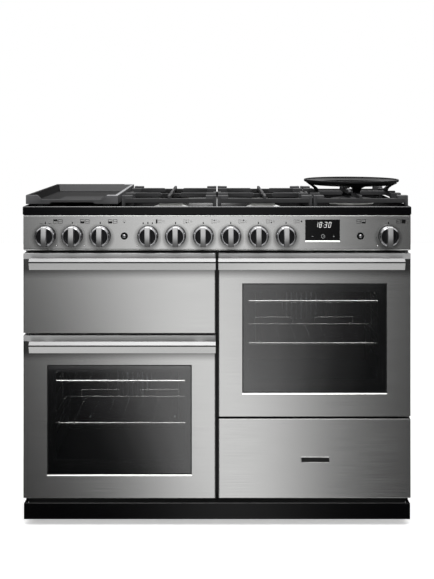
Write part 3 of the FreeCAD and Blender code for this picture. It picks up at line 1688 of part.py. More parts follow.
def hob_holes():
    """Holes in the hob's floor for the burners and the glass hotplate."""
    low = hob_floor - size.hob_steel - size.cut_overrun
    cuts = []
    for name, cell, share, radius, hole, rank in BURNERS:
        start = (cell_middle(cell), cell_front + size.cell_depth * share, low)
        cuts.append(rod(f"hob_{name}_hole", start, hole, size.hob_steel + size.cut_overrun * 2))
    border = size.ceramic_border + size.ceramic_step
    cuts.append(block("hob_ceramic_hole", (cell_start(0) + border, cell_front + border, low),
                      (cell_start(1) - border, griddle_back - border, hob_floor + size.cut_overrun)))
    return cuts


def hob_vents():
    """The row of vent slots behind the pan supports."""
    cuts = []
    low = hob_floor - size.hob_steel - size.cut_overrun
    first = -size.hob_vent_pitch * ((HOB_VENT_COUNT - 1) / 2)
    near, far = spread((cell_back + back) / 2, size.vent_slot_length / 2)
    for index in range(HOB_VENT_COUNT):
        left, right = spread(first + size.hob_vent_pitch * index, size.vent_slot_width / 2)
        cuts.append(block(f"hob_vent_{index}", (left, near, low), (right, far, hob_floor + size.cut_overrun)))
    return cuts


def make_hob_top():
    """The pressed hob: a rim all round, a sunk floor, burner holes and vents at the back."""
    front = door_face - size.hob_overhang
    outline = [(0, 0), (half_width * 2, 0), (half_width * 2, back - front), (0, back - front)]
    body = padded("hob_blank", "XY_Plane", outline, size.hob_trim_height, (-half_width, front, panel_top))
    rounded_body(body, size.hob_edge_radius, top_edge)
    steel = size.hob_steel
    rim = size.hob_rim
    cuts = [block("hob_underside", (steel - half_width, front + steel, panel_top - size.cut_overrun),
                  (half_width - steel, back - steel, hob_floor - steel))]
    cuts.append(block("hob_well", (rim - half_width, front + rim, hob_floor),
                      (half_width - rim, back - rim, size.hob_height + size.cut_overrun)))
    node("hob_top", less("hob_top", body, cuts + hob_holes() + hob_vents()))


def top_edge(edge):
    """True for the four top edges of the hob's blank."""
    return all(abs(vertex.Point.z - size.hob_trim_height.value) < SMALL for vertex in edge.Vertexes)


def make_ceramic_zone():
    """The glass hotplate that lies under the griddle."""
    border = size.ceramic_border
    low = (cell_start(0) + border, cell_front + border, hob_floor)
    high = (cell_start(1) - border, griddle_back - border, hob_floor + size.ceramic_thickness)
    node("ceramic_zone", block("ceramic_zone", low, high))


def burner_body(name, place, radius, hole):
    """A cast burner: cup below the hob, flange on it, and a head above."""
    cup = size.burner_cup_depth
    flange = size.burner_flange
    step = cup + size.burner_head_step
    top = cup + size.burner_height
    fit = hole - size.seat_clearance
    outline = [
        (0, 0),
        (hole / 2, 0),
        (fit, cup / 2),
        (fit, cup),
        (hole + flange, cup),
        (hole + flange, cup + size.hob_steel),
        (radius + flange, step),
        (radius, step),
        (radius, top),
        (0, top),
    ]
    return turned(f"{name}_body", outline, place)


def burner_cap(name, place, radius):
    """The enamelled cap that lies on a burner; the wok burner's has a groove round its middle."""
    thick = size.burner_cap_thickness
    edge = size.burner_cap_edge
    rim = radius + edge
    cap = turned(f"{name}_cap", [
        (0, 0),
        (rim - edge, 0),
        (rim, edge / 2),
        (rim, thick - edge),
        (rim - edge, thick),
        (0, thick),
    ], place)
    if name != "wok_burner":
        return cap
    inner = size.wok_cap_groove_radius
    outer = inner + size.wok_cap_groove_width
    groove = turned(f"{name}_groove", [
        (inner, edge),
        (outer, edge),
        (outer, thick + size.cut_overrun),
        (inner, thick + size.cut_overrun),
    ], place)
    return less(f"{name}_cap_grooved", cap, [groove])


def make_burners():
    """The cast burner bodies in their cups, and the caps that lie on them."""
    bodies = []
    caps = []
    base = hob_floor - size.burner_cup_depth
    for name, cell, share, radius, hole, rank in BURNERS:
        middle = cell_middle(cell)
        depth = cell_front + size.cell_depth * share
        bodies.append(burner_body(name, (middle, depth, base), radius, hole))
        caps.append(burner_cap(name, (middle, depth, hob_floor + size.burner_height), radius))
    node("burner_bodies", group("burner_bodies", bodies))
    node("burner_caps", group("burner_caps", caps))


# Pan supports, griddle and wok cradle

def quarter_turn(degrees):
    """A turn about the upright axis."""
    return FreeCAD.Rotation(FreeCAD.Vector(0, 0, 1), degrees)


def finger(name, root, length, degrees):
    """A cast finger that reaches from the frame towards a burner."""
    high = support_high - bar_low
    under = high - size.support_bar_height
    outline = [
        (0, 0),
        (size.finger_slope / 2, 0),
        (size.finger_slope, under),
        (length - size.finger_root_drop / 2, under),
        (length, under + size.finger_root_drop / 2),
        (length, high - size.finger_tip_slope),
        (length - size.finger_tip_slope, high),
        (0, high),
    ]
    turn = quarter_turn(degrees)
    body = padded(name, "XZ_Plane", outline, size.finger_width, (0, 0, 0), turn)
    sideways = turn.multVec(FreeCAD.Vector(0, 1, 0))
    half = size.finger_width / 2
    move(body, root[0] + half * round(sideways.x), root[1] + half * round(sideways.y), bar_low)
    return body


def support_frame(name, start, end, front, rear):
    """The four bars of a pan support, and the corner posts it stands on."""
    wide = size.support_bar_width
    nub = size.support_nub
    pieces = []
    for word, left in (("left", start), ("right", end - wide)):
        pieces.append(block(f"{name}_{word}_bar", (left, front, bar_low), (left + wide, rear, bar_high)))
        for spot, near in (("front", front), ("rear", rear - nub)):
            pieces.append(block(f"{name}_{word}_{spot}_corner", (left, near, support_foot),
                                (left + wide, near + nub, support_high)))
    for word, near in (("front", front), ("rear", rear - wide)):
        pieces.append(block(f"{name}_{word}_bar", (start, near, bar_low), (end, near + wide, bar_high)))
    return pieces


def burner_fingers(name, centre, sides):
    """Four fingers from the bars on each side, front and rear towards one burner."""
    across, depth = centre
    start, end, near, far = sides
    eye = size.finger_eye
    return [
        finger(f"{name}_left_finger", (start, depth), across - start - eye, 0),
        finger(f"{name}_right_finger", (end, depth), end - across - eye, 180),
        finger(f"{name}_front_finger", (across, near), depth - near - eye, 90),
        finger(f"{name}_rear_finger", (across, far), far - depth - eye, 270),
    ]


def make_pan_support(number, shares):
    """A cast support: a frame on four feet, fingers to each burner, a bar between burners."""
    start = cell_start(number) + size.cell_clearance
    end = cell_start(number + 1) - size.cell_clearance
    across = (start + end) / 2
    front = cell_front + size.cell_clearance
    rear = cell_back - size.cell_clearance
    middle = (front + rear) / 2
    name = f"pan_support_{number}"
    pieces = support_frame(name, start, end, front, rear)
    spans = [(front, rear)]
    if len(shares) > 1:
        low, high = spread(middle, size.support_bar_width / 2)
        pieces.append(block(f"{name}_middle_bar", (start, low, bar_low), (end, high, bar_high)))
        spans = [(front, middle), (middle, rear)]
    for spot, (share, span) in enumerate(zip(shares, spans)):
        centre = (across, cell_front + size.cell_depth * share)
        pieces.extend(burner_fingers(f"{name}_{spot}", centre, (start, end, *span)))
    node(name, joined(name, pieces))


def griddle_scoops(start, end, front, low, high):
    """The dip in the middle of the griddle's front lip, and the arch under it."""
    width = end - start
    inset = size.griddle_lip_inset
    wide = size.griddle_lip_slope
    over = size.cut_overrun
    rear = front + size.griddle_rim_width + over
    through = size.griddle_rim_width + over * 2
    cuts = []
    for word, level, reach, beyond in (("dip", high, -size.griddle_lip_drop, over),
                                       ("arch", low, size.griddle_floor_lift, -over)):
        outline = [(inset, reach), (width - inset, reach), (width - inset + wide, 0),
                   (width - inset + wide, beyond), (inset - wide, beyond), (inset - wide, 0)]
        cuts.append(padded(f"griddle_{word}", "XZ_Plane", outline, through, (start, rear, level)))
    return cuts


def make_griddle():
    """A cast plate with a raised rim that dips at the front, on four feet."""
    start = cell_start(0) + size.cell_clearance
    end = cell_start(1) - size.griddle_side_gap
    front = cell_front
    rear = griddle_back
    high = size.hob_height + size.griddle_top
    low = high - size.griddle_height
    wall = size.griddle_rim_width
    plate_low = low + size.griddle_floor_lift
    whole = block("griddle_block", (start, front, low), (end, rear, high))
    cuts = [block("griddle_tray", (start + wall, front + wall, plate_low + size.griddle_plate),
                  (end - wall, rear - wall, high + size.cut_overrun))]
    cuts.append(block("griddle_underside", (start + wall, front + wall, low - size.cut_overrun),
                      (end - wall, rear - wall, plate_low)))
    pieces = [less("griddle_cast", whole, cuts + griddle_scoops(start, end, front, low, high))]
    foot = size.griddle_foot_inset
    for word, across in (("left", start + foot), ("right", end - foot)):
        for spot, depth in (("front", front + foot), ("rear", rear - foot)):
            pieces.append(rod(f"griddle_{word}_{spot}_foot", (across, depth, support_foot),
                              size.griddle_foot_radius, plate_low - support_foot))
    node("griddle", joined("griddle", pieces))


def make_wok_cradle():
    """A cast ring on four splayed legs that stand on the right pan support."""
    middle = cell_middle(3)
    depth = cell_front + size.cell_depth * WOK_DEPTH_SHARE
    base = support_high + size.seat_clearance
    foot = size.wok_ring_foot_radius
    rim = size.wok_ring_radius
    wall = size.wok_ring_wall
    tall = size.wok_ring_height
    low = size.wok_ring_lift
    outline = [
        (foot - wall, low),
        (foot, low),
        (rim, low + tall),
        (rim - wall, low + tall),
    ]
    pieces = [turned("wok_ring", outline, (middle, depth, base))]
    lean = size.wok_leg_lean
    leg = [
        (foot - lean - size.wok_leg_foot, 0),
        (foot - lean, 0),
        (foot, low + tall / 4),
        (foot - wall, low + tall / 2),
    ]
    for index in range(4):
        turn = quarter_turn(90 * index)
        body = padded(f"wok_leg_{index}", "XZ_Plane", leg, size.wok_leg_width, (0, 0, 0), turn)
        sideways = turn.multVec(FreeCAD.Vector(0, 1, 0))
        half = size.wok_leg_width / 2
        move(body, middle + half * round(sideways.x), depth + half * round(sideways.y), base)
        pieces.append(body)
    node("wok_cradle", joined("wok_cradle", pieces))


# Feet and rollers


def make_feet():
    """Two screw feet at the front, and two rollers on one axle at the back."""
    for side, word in ((-1, "left"), (1, "right")):
        across = foot_place * side
        pad = cone(f"{word}_foot_pad", (across, foot_depth, 0), size.foot_pad_radius,
                   size.foot_pad_radius - size.foot_pad_height / 2, size.foot_pad_height)
        screw = rod(f"{word}_foot_screw", (across, foot_depth, 0), size.foot_screw_radius,
                    base_top + size.foot_travel)
        node(f"{word}_foot", joined(f"{word}_foot", [pad, screw]))
    radius = size.roller_radius
    reach = fork_place + size.fork_steel + size.fork_gap
    pieces = [rod("roller_axle", (-reach - size.roller_width, roller_depth, radius),
                  size.roller_axle_radius, (reach + size.roller_width) * 2, "X")]
    for side, word in ((-1, "left"), (1, "right")):
        left, right = sided(side, reach, reach + size.roller_width)
        pieces.append(rod(f"{word}_roller", (left, roller_depth, radius), radius, size.roller_width, "X"))
    node("rear_rollers", joined("rear_rollers", pieces))


def make_all():
    """Make each sub-part of the cooker."""
    make_case_panels()
    make_base_frame()
    make_front_frame()
    make_plinth()
    make_oven_liner("left", -1, LEFT_MOUTH)
    make_oven_liner("right", 1, RIGHT_MOUTH)
    make_grill_liner()
    make_grill_pan()
    make_wire_shelves()
    make_heating_elements()
    make_door_seals()
    make_oven_door("left", -1, left_bottom, left_top)
    make_oven_door("right", 1, right_bottom, doors_top)
    make_grill_door()
    make_drawer()
    make_control_panel()
    make_clock_display()
    for name, kind, across in KNOBS:
        make_knob(name, kind, across)
    make_tap_plugs()
    make_buttons()
    make_electrical_fittings()
    make_fan("left", -1, LEFT_MOUTH)
    make_fan("right", 1, RIGHT_MOUTH)
    make_gas_pipework()
    make_hob_top()
    make_ceramic_zone()
    make_burners()
    make_pan_support(1, (FRONT_BURNER_SHARE, REAR_BURNER_SHARE))
    make_pan_support(2, (FRONT_BURNER_SHARE, REAR_BURNER_SHARE))
    make_pan_support(3, (WOK_DEPTH_SHARE,))
    make_griddle()
    make_wok_cradle()
    make_feet()


def check_document():
    """Stop if any object failed, or a sub-part has no sound shape."""
    for thing in DOC.Objects:
        if "Invalid" in thing.State or "Error" in thing.State:
            raise RuntimeError(f"{thing.Name} could not be made: {thing.State}")
    for name, thing in NODES.items():
        shape = thing.Shape
        if shape.isNull() or not shape.isValid() or not shape.Solids:
            raise RuntimeError(f"{name} has no sound shape")


make_all()
DOC.recompute()
check_document()
os.makedirs("parts", exist_ok=True)
for name, thing in NODES.items():
    thing.Shape.exportStep(f"parts/{name}.step")
    print(name, len(thing.Shape.Solids), round(thing.Shape.Volume), flush=True)
print(len(NODES), "sub-parts")
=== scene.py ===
# %% [markdown]
# # A dual fuel range cooker
# This file dresses a finished CAD model. The model is a fixed frame: every solid is already at its
# real size and place, so Blender adds only what CAD leaves out, which is rounded edges, the finer
# cast forms, finishes, printed marks and light. Lengths are in metres, X runs to the right, Y to
# the back and Z up.

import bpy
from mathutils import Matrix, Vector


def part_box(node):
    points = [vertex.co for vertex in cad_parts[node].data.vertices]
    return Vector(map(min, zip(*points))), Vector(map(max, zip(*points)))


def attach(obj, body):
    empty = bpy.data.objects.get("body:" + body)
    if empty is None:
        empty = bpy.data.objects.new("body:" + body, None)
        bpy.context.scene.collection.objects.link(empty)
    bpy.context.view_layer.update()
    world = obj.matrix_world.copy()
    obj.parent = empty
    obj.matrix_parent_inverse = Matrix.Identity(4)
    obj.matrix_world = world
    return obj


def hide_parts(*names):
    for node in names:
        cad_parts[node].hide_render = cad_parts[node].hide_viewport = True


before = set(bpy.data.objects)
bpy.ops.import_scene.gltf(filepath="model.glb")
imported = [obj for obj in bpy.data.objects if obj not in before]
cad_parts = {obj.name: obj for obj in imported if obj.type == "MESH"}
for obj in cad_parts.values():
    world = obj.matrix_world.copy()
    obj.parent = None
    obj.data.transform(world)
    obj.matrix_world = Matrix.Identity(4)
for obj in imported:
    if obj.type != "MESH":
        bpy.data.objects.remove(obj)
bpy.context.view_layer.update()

# %% [markdown]
# ## Camera
# The photograph was taken square to the front, at the height of a standing person's chest. The
# upright edges run parallel, so the camera looks level and the picture is shifted down instead of
# tilted. Shift keeps uprights upright, which is why product photographers use it.

# %% Camera
import bpy
import math
from mathutils import Vector

QUARTER_TURN = math.radians(90)
CAMERA_PLACE = Vector((0, -2.884, 1.127))
LENS_MM = 57.08
FRAME_SHIFT_DOWN = -0.279

camera_data = bpy.data.cameras.new("camera")
camera_data.lens = LENS_MM
camera_data.shift_y = FRAME_SHIFT_DOWN
camera = bpy.data.objects.new("camera", camera_data)
camera.location = CAMERA_PLACE
camera.rotation_euler = (QUARTER_TURN, 0, 0)
bpy.context.collection.objects.link(camera)
bpy.context.scene.camera = camera
bpy.context.scene.view_settings.view_transform = "Standard"
print("camera height", CAMERA_PLACE.z, "lens", LENS_MM)

# %% [markdown]
# ## Adding nodes
# Every finish below is a small node tree. One helper adds a node, sets what it is given and draws
# its links, so that a material reads as a short list of steps.

# %% One helper for nodes
def add_node(tree, kind, feeds, **settings):
    """Adds a node. A feed is a plain value, or a pair of node and output name to link from."""
    node = tree.nodes.new(kind)
    for setting, value in settings.items():
        setattr(node, setting, value)
    for socket, feed in feeds.items():
        if isinstance(feed, tuple) and hasattr(feed[0], "outputs"):
            tree.links.new(feed[0].outputs[feed[1]], node.inputs[socket])
        else:
            node.inputs[socket].default_value = feed
    return node


print("node helper ready")

# %% [markdown]
# Colours are written as the hex values that a picture program shows. Those are sRGB, which spreads
# the dark tones out as the eye does, while a renderer adds up light, so one function turns them
# into linear values.

# %% Colours
HEX_BYTES = ((1, 3), (3, 5), (5, 7))
HEX_BASE = 16
BYTE_TOP = 255
SRGB_KNEE = 0.04045
SRGB_SLOPE = 12.92
SRGB_OFFSET = 0.055
SRGB_POWER = 2.4


def linear(hex_colour):
    """An sRGB colour such as #C0C0C0 as linear red, green, blue and alpha."""
    values = []
    for start, end in HEX_BYTES:
        share = int(hex_colour[start:end], HEX_BASE) / BYTE_TOP
        if share <= SRGB_KNEE:
            values.append(share / SRGB_SLOPE)
        else:
            values.append(((share + SRGB_OFFSET) / (1 + SRGB_OFFSET)) ** SRGB_POWER)
    return (*values, 1.0)


print("mid grey is", linear("#808080"))

# %% [markdown]
# ## Studio
# Satin steel has almost no colour of its own: what the eye reads as its tone is the room. In the
# photograph the middle of every door is bright and the outer edges fall to dark grey, which is a
# large soft light behind the camera between dark walls. Area lamps would leave hard edges in the
# glass, so the room is painted on the world by direction: a soft lobe to the front, a light
# overhead, a white ground below, and a dim grey at the sides, which only views from an angle
# mirror.

# %% An empty room and a way to paint it
world = bpy.data.worlds.new("studio_room")
bpy.context.scene.world = world
world.use_nodes = True
room = world.node_tree
room.nodes.clear()


def set_stops(ramp_node, stops):
    """Lays the stops of a colour ramp, each a place from 0 to 1 and a hex colour."""
    ramp = ramp_node.color_ramp
    ramp.interpolation = "EASE"
    while len(ramp.elements) < len(stops):
        ramp.elements.new(1)
    for element, (place, colour) in zip(ramp.elements, stops):
        element.position = place
        element.color = linear(colour)


print("room ready for", world.name)

# %% [markdown]
# A direction is read as a point on a wall in front of the cooker: its slope is how far to the side
# it lies and its rise how far up. The lobe's middle drifts and its width grows with the rise, so
# the bright field on the steel leans and narrows towards the ground as it does in the photograph.

# %% Where a direction meets the front wall
HALF = 0.5
LOBE_CENTRE_LEVEL = -0.037
LOBE_CENTRE_GAIN = -0.13
LOBE_EDGE_LEVEL = 0.405
LOBE_EDGE_GAIN = 0.6
LOBE_EDGE_LEAST = 0.17
SMALLEST_DEPTH = 0.05
direction = add_node(room, "ShaderNodeTexCoord", {})
parts = add_node(room, "ShaderNodeSeparateXYZ", {0: (direction, "Generated")})
forward = add_node(room, "ShaderNodeMath", {0: (parts, "Y"), 1: -1}, operation="MULTIPLY")
depth = add_node(room, "ShaderNodeMath", {0: (forward, 0), 1: SMALLEST_DEPTH}, operation="MAXIMUM")
slope = add_node(room, "ShaderNodeMath", {0: (parts, "X"), 1: (depth, 0)}, operation="DIVIDE")
rise = add_node(room, "ShaderNodeMath", {0: (parts, "Z"), 1: (depth, 0)}, operation="DIVIDE")
centre = add_node(room, "ShaderNodeMath", {0: (rise, 0), 1: LOBE_CENTRE_GAIN, 2: LOBE_CENTRE_LEVEL},
                  operation="MULTIPLY_ADD")
offset = add_node(room, "ShaderNodeMath", {0: (slope, 0), 1: (centre, 0)}, operation="SUBTRACT")
aside = add_node(room, "ShaderNodeMath", {0: (offset, 0)}, operation="ABSOLUTE")
edge = add_node(room, "ShaderNodeMath", {0: (rise, 0), 1: LOBE_EDGE_GAIN, 2: LOBE_EDGE_LEVEL},
                operation="MULTIPLY_ADD")
safe_edge = add_node(room, "ShaderNodeMath", {0: (edge, 0), 1: LOBE_EDGE_LEAST}, operation="MAXIMUM")
reach = add_node(room, "ShaderNodeMath", {0: (aside, 0), 1: (safe_edge, 0)}, operation="DIVIDE")
height = add_node(room, "ShaderNodeMath", {0: (parts, "Z"), 1: HALF, 2: HALF}, operation="MULTIPLY_ADD")
sideways = add_node(room, "ShaderNodeMath", {0: (parts, "X")}, operation="ABSOLUTE")
print("lobe edge at eye level", LOBE_EDGE_LEVEL)

# %% Tones of the room
# Sockets of a Mix node that mixes colours: its factor, its two colours and its result
FACTOR = 0
COLOUR_A = 6
COLOUR_B = 7
MIXED = 2
FULL = 1.0
LOBE_STOPS = (
    (0.0, "#FFFFFF"),
    (0.12, "#FBFBFB"),
    (0.25, "#E1E1E1"),
    (0.35, "#BCBCBC"),
    (0.45, "#8C8C8C"),
    (0.55, "#5C5C5C"),
    (0.7, "#303030"),
    (1.0, "#101010"),
)
HEIGHT_STOPS = (
    (0.0, "#404040"),
    (0.2, "#8A8A8A"),
    (0.3, "#DCDCDC"),
    (0.36, "#D7D7D7"),
    (0.4, "#C8C8C8"),
    (0.5, "#BCBCBC"),
    (0.62, "#898989"),
    (1.0, "#606060"),
)
OVERHEAD_STOPS = ((0.0, "#000000"), (0.65, "#000000"), (0.78, "#A4A4A4"), (1.0, "#FFFFFF"))
GROUND_STOPS = ((0.0, "#FFFFFF"), (0.12, "#E8E8E8"), (0.19, "#000000"), (1.0, "#000000"))
SIDE_STOPS = (
    (0.0, "#000000"),
    (0.55, "#000000"),
    (0.67, "#8E8E8E"),
    (0.88, "#8E8E8E"),
    (0.95, "#202020"),
    (1.0, "#101010"),
)
ROOM_TONES = (
    ("lobe", reach, LOBE_STOPS),
    ("height", height, HEIGHT_STOPS),
    ("overhead", height, OVERHEAD_STOPS),
    ("ground", height, GROUND_STOPS),
    ("side", sideways, SIDE_STOPS),
)
tones = {}
for name, measure, stops in ROOM_TONES:
    tones[name] = add_node(room, "ShaderNodeValToRGB", {0: (measure, 0)})
    set_stops(tones[name], stops)
tones["front"] = add_node(room, "ShaderNodeMix", {
    FACTOR: FULL,
    COLOUR_A: (tones["lobe"], 0),
    COLOUR_B: (tones["height"], 0),
}, data_type="RGBA", blend_type="MULTIPLY")
print("tones", list(tones))

# %% [markdown]
# Each tone becomes a light of its own strength, and the lights are added up. The camera itself
# sees a plain white backdrop, while everything that mirrors or is lit sees the painted room.

# %% Room light
# The output of each tone that carries its colour, and the strength of its light
ROOM_LIGHTS = (("overhead", 0, 1.4), ("ground", 0, 0.95), ("side", 0, 1.0), ("front", MIXED, 2.25))
BACKDROP = "#FFFFFF"
room_light = None
for name, output, strength in ROOM_LIGHTS:
    light = add_node(room, "ShaderNodeBackground", {"Color": (tones[name], output), "Strength": strength})
    if room_light is not None:
        light = add_node(room, "ShaderNodeAddShader", {0: (room_light, 0), 1: (light, 0)})
    room_light = light
backdrop = add_node(room, "ShaderNodeBackground", {"Color": linear(BACKDROP), "Strength": FULL})
ray = add_node(room, "ShaderNodeLightPath", {})
seen = add_node(room, "ShaderNodeMixShader", {
    0: (ray, "Is Camera Ray"),
    1: (room_light, 0),
    2: (backdrop, 0),
})
add_node(room, "ShaderNodeOutputWorld", {"Surface": (seen, 0)})
print("world nodes", len(room.nodes))

# %% [markdown]
# ## Materials and lamps
# A material is a Principled shader that takes its plain values straight on its own sockets, named
# here as in the shader but in small letters. A value that is a hex colour is turned to linear.

# %% Material helpers
def shader_of(material):
    """The shader node of a material."""
    return material.node_tree.nodes["Principled BSDF"]


def new_material(name, hex_colour, **values):
    """A material with a base colour and values for the shader's other sockets."""
    material = bpy.data.materials.new(name)
    material.use_nodes = True
    shader = shader_of(material)
    shader.inputs["Base Color"].default_value = linear(hex_colour)
    for socket, value in values.items():
        title = socket.replace("_", " ").title().replace("Ior", "IOR")
        shader.inputs[title].default_value = linear(value) if isinstance(value, str) else value
    material.diffuse_color = linear(hex_colour)
    return material


print("material helpers ready")

# %% Lamps
KEY_POWER = 30
KEY_SIZE = 1.6
KEY_PLACE = Vector((0, -1.3, 2.7))
KEY_AIM = Vector((0, 0, 0.7))
FILL_POWER = 10
FILL_SIZE = 1.2
FILL_PLACE = Vector((0.9, 1.6, 2.2))


def add_lamp(name, place, aim, power, size, depth):
    """An oblong soft light that hangs at a place and looks at a point."""
    lamp_data = bpy.data.lights.new(name, "AREA")
    lamp_data.energy = power
    lamp_data.shape = "RECTANGLE"
    lamp_data.size = size
    lamp_data.size_y = depth
    lamp = bpy.data.objects.new(name, lamp_data)
    lamp.location = place
    lamp.rotation_euler = (aim - place).to_track_quat("-Z", "Y").to_euler()
    lamp.visible_camera = False
    bpy.context.collection.objects.link(lamp)


add_lamp("key_light", KEY_PLACE, KEY_AIM, KEY_POWER, KEY_SIZE, KEY_SIZE)
add_lamp("fill_light", FILL_PLACE, KEY_AIM, FILL_POWER, FILL_SIZE, FILL_SIZE)
print("lamps", KEY_POWER, FILL_POWER)

# %% [markdown]
# The floor is plain and pale. It is left out of what mirrors see, because in the studio the light
# in front of the cooker reached the doors from behind the camera and not from the floor.

# %% Floor
FLOOR_HALF = 6.0
FLOOR_COLOUR = "#F6F6F6"
FLOOR_GLOW = 0.45
FLOOR_ROUGHNESS = 0.9
bpy.ops.object.select_all(action="DESELECT")
bpy.ops.mesh.primitive_plane_add(size=FLOOR_HALF * 2, location=(0, 0, 0))
floor = bpy.context.object
floor.name = "floor"
floor_paint = new_material("studio_floor", FLOOR_COLOUR, roughness=FLOOR_ROUGHNESS,
                           emission_color=FLOOR_COLOUR, emission_strength=FLOOR_GLOW)
floor.data.materials.append(floor_paint)
floor.visible_glossy = False
print("floor across", FLOOR_HALF * 2, "m")

# %% [markdown]
# ## Helpers for modelling
# An operator works on whatever is selected, so each helper first clears the selection and then
# takes hold of one piece. Faces and edges are picked by where they are or which way they look,
# as a modeller picks them by eye.

# %% Selection helpers
def take(piece):
    """Makes one piece the only selected and active object."""
    bpy.ops.object.select_all(action="DESELECT")
    piece.select_set(True)
    bpy.context.view_layer.objects.active = piece


def leave_edit():
    """Goes back to object mode."""
    bpy.ops.object.mode_set(mode="OBJECT")


def edit_nothing(piece, element):
    """Clears the selection of a piece's faces, edges or points, and stays in object mode."""
    take(piece)
    bpy.ops.object.mode_set(mode="EDIT")
    bpy.ops.mesh.select_mode(type=element)
    bpy.ops.mesh.select_all(action="DESELECT")
    leave_edit()


def edit_faces(piece, test):
    """Opens edit mode with only the faces that pass the test(middle, normal) selected."""
    edit_nothing(piece, "FACE")
    for face in piece.data.polygons:
        face.select = test(face.center, face.normal)
    bpy.ops.object.mode_set(mode="EDIT")


def edit_edges(piece, test):
    """Opens edit mode with only the edges whose two ends pass the test selected."""
    edit_nothing(piece, "EDGE")
    points = piece.data.vertices
    for edge in piece.data.edges:
        start, end = edge.vertices
        edge.select = test(points[start].co, points[end].co)
    bpy.ops.object.mode_set(mode="EDIT")


def edit_all(piece, element="VERT"):
    """Opens edit mode with the whole mesh selected."""
    take(piece)
    bpy.ops.object.mode_set(mode="EDIT")
    bpy.ops.mesh.select_mode(type=element)
    bpy.ops.mesh.select_all(action="SELECT")


print("selection helpers ready")

# %% Helpers that start pieces
MM = 0.001
MERGE_DISTANCE = 0.01 * MM


def settle(piece):
    """Puts the piece's place, turn and scale into its mesh."""
    take(piece)
    bpy.ops.object.transform_apply(location=True, rotation=True, scale=True)


def face_outwards(piece):
    """Merges doubled points and turns every face outwards."""
    edit_all(piece)
    bpy.ops.mesh.remove_doubles(threshold=MERGE_DISTANCE)
    bpy.ops.mesh.normals_make_consistent(inside=False)
    leave_edit()


def add_block(name, low, high):
    """A box between two corners, as the start of a piece."""
    low = Vector(low)
    high = Vector(high)
    bpy.ops.object.select_all(action="DESELECT")
    bpy.ops.mesh.primitive_cube_add(size=1, location=(low + high) / 2)
    piece = bpy.context.object
    piece.name = name
    piece.scale = high - low
    settle(piece)
    return piece


def add_disc(name, middle, radius, thickness, sides, turn=(QUARTER_TURN, 0, 0)):
    """A round disc whose flat faces look along Y unless it is turned otherwise."""
    bpy.ops.object.select_all(action="DESELECT")
    bpy.ops.mesh.primitive_cylinder_add(vertices=sides, radius=radius, depth=thickness,
                                        location=middle, rotation=turn)
    piece = bpy.context.object
    piece.name = name
    settle(piece)
    return piece


print("blocks and discs ready")

# %% Helpers that copy and join pieces
def copy_model(model, name, place=(0, 0, 0), turn=(0, 0, 0)):
    """A copy of a model with a mesh of its own, moved to a place and turned there."""
    piece = bpy.data.objects.new(name, model.data.copy())
    bpy.context.collection.objects.link(piece)
    piece.location = place
    piece.rotation_euler = turn
    settle(piece)
    return piece


def join_as(name, things):
    """Joins several meshes into one piece."""
    take(things[0])
    for thing in things:
        thing.select_set(True)
    bpy.ops.object.join()
    piece = bpy.context.object
    piece.name = name
    return piece


print("copies and joins ready")

# %% [markdown]
# A sheet-steel or cast edge is never sharp. A narrow bevel with a few segments catches a line of
# light along every edge, and that line is much of what makes a render look real.

# %% Bevel helpers
BEVEL_ANGLE = math.radians(32)
BEVEL_STEPS = 3
SMOOTH_ANGLE = math.radians(35)


def smooth(piece):
    """Smooth shading that keeps real corners."""
    take(piece)
    bpy.ops.object.shade_smooth_by_angle(angle=SMOOTH_ANGLE)


def round_edges(piece, width):
    """Bevels the piece's sharp edges. The flat faces lead the shading, so only the bevels curve it."""
    bevel = piece.modifiers.new("edge_bevel", "BEVEL")
    bevel.width = width
    bevel.segments = BEVEL_STEPS
    bevel.limit_method = "ANGLE"
    bevel.angle_limit = BEVEL_ANGLE
    take(piece)
    bpy.ops.object.modifier_apply(modifier=bevel.name)
    smooth(piece)
    even = piece.modifiers.new("flat_faces", "WEIGHTED_NORMAL")
    even.keep_sharp = True
    take(piece)
    bpy.ops.object.modifier_apply(modifier=even.name)


print("bevel angle", BEVEL_ANGLE)

# %% [markdown]
# A piece that stands for a CAD node starts as a copy of it. CAD hands over loose triangles, so the
# copy is merged and its triangles are joined into flat faces before anything is rounded.

# %% Copies of CAD nodes
DISSOLVE_ANGLE = math.radians(0.5)


def copy_node(name, node):
    """A piece that starts as a copy of a CAD node, with its triangles joined into flat faces."""
    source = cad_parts[node]
    piece = bpy.data.objects.new(name, source.data.copy())
    bpy.context.collection.objects.link(piece)
    piece.data.materials.clear()
    edit_all(piece)
    bpy.ops.mesh.customdata_custom_splitnormals_clear()
    bpy.ops.mesh.remove_doubles(threshold=MERGE_DISTANCE)
    bpy.ops.mesh.dissolve_limited(angle_limit=DISSOLVE_ANGLE, use_dissolve_boundaries=False)
    leave_edit()
    return piece


def middle_of(node):
    """The middle of a CAD node's box."""
    low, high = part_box(node)
    return (low + high) / 2


print("flat faces meet at less than", DISSOLVE_ANGLE)

# %% [markdown]
# Every finished piece is told which body it rides on, so that it moves with its joint. A CAD node that has
# the right shape already only gets a better material.

# %% Materials and bodies
def lay_materials(piece, *materials):
    """Gives a piece its materials in order. All faces wear the first until they are painted."""
    piece.data.materials.clear()
    for material in materials:
        piece.data.materials.append(material)


def paint_faces(piece, material, test):
    """Gives the faces that pass the test(middle, normal) another of the piece's materials."""
    index = piece.data.materials.find(material.name)
    for face in piece.data.polygons:
        if test(face.center, face.normal):
            face.material_index = index


def paint_nodes(material, *nodes):
    """CAD nodes keep their shape and get a better material."""
    for node in nodes:
        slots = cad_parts[node].data.materials
        if not slots:
            slots.append(material)
        for index in range(len(slots)):
            slots[index] = material
    print(material.name, "on", *nodes)


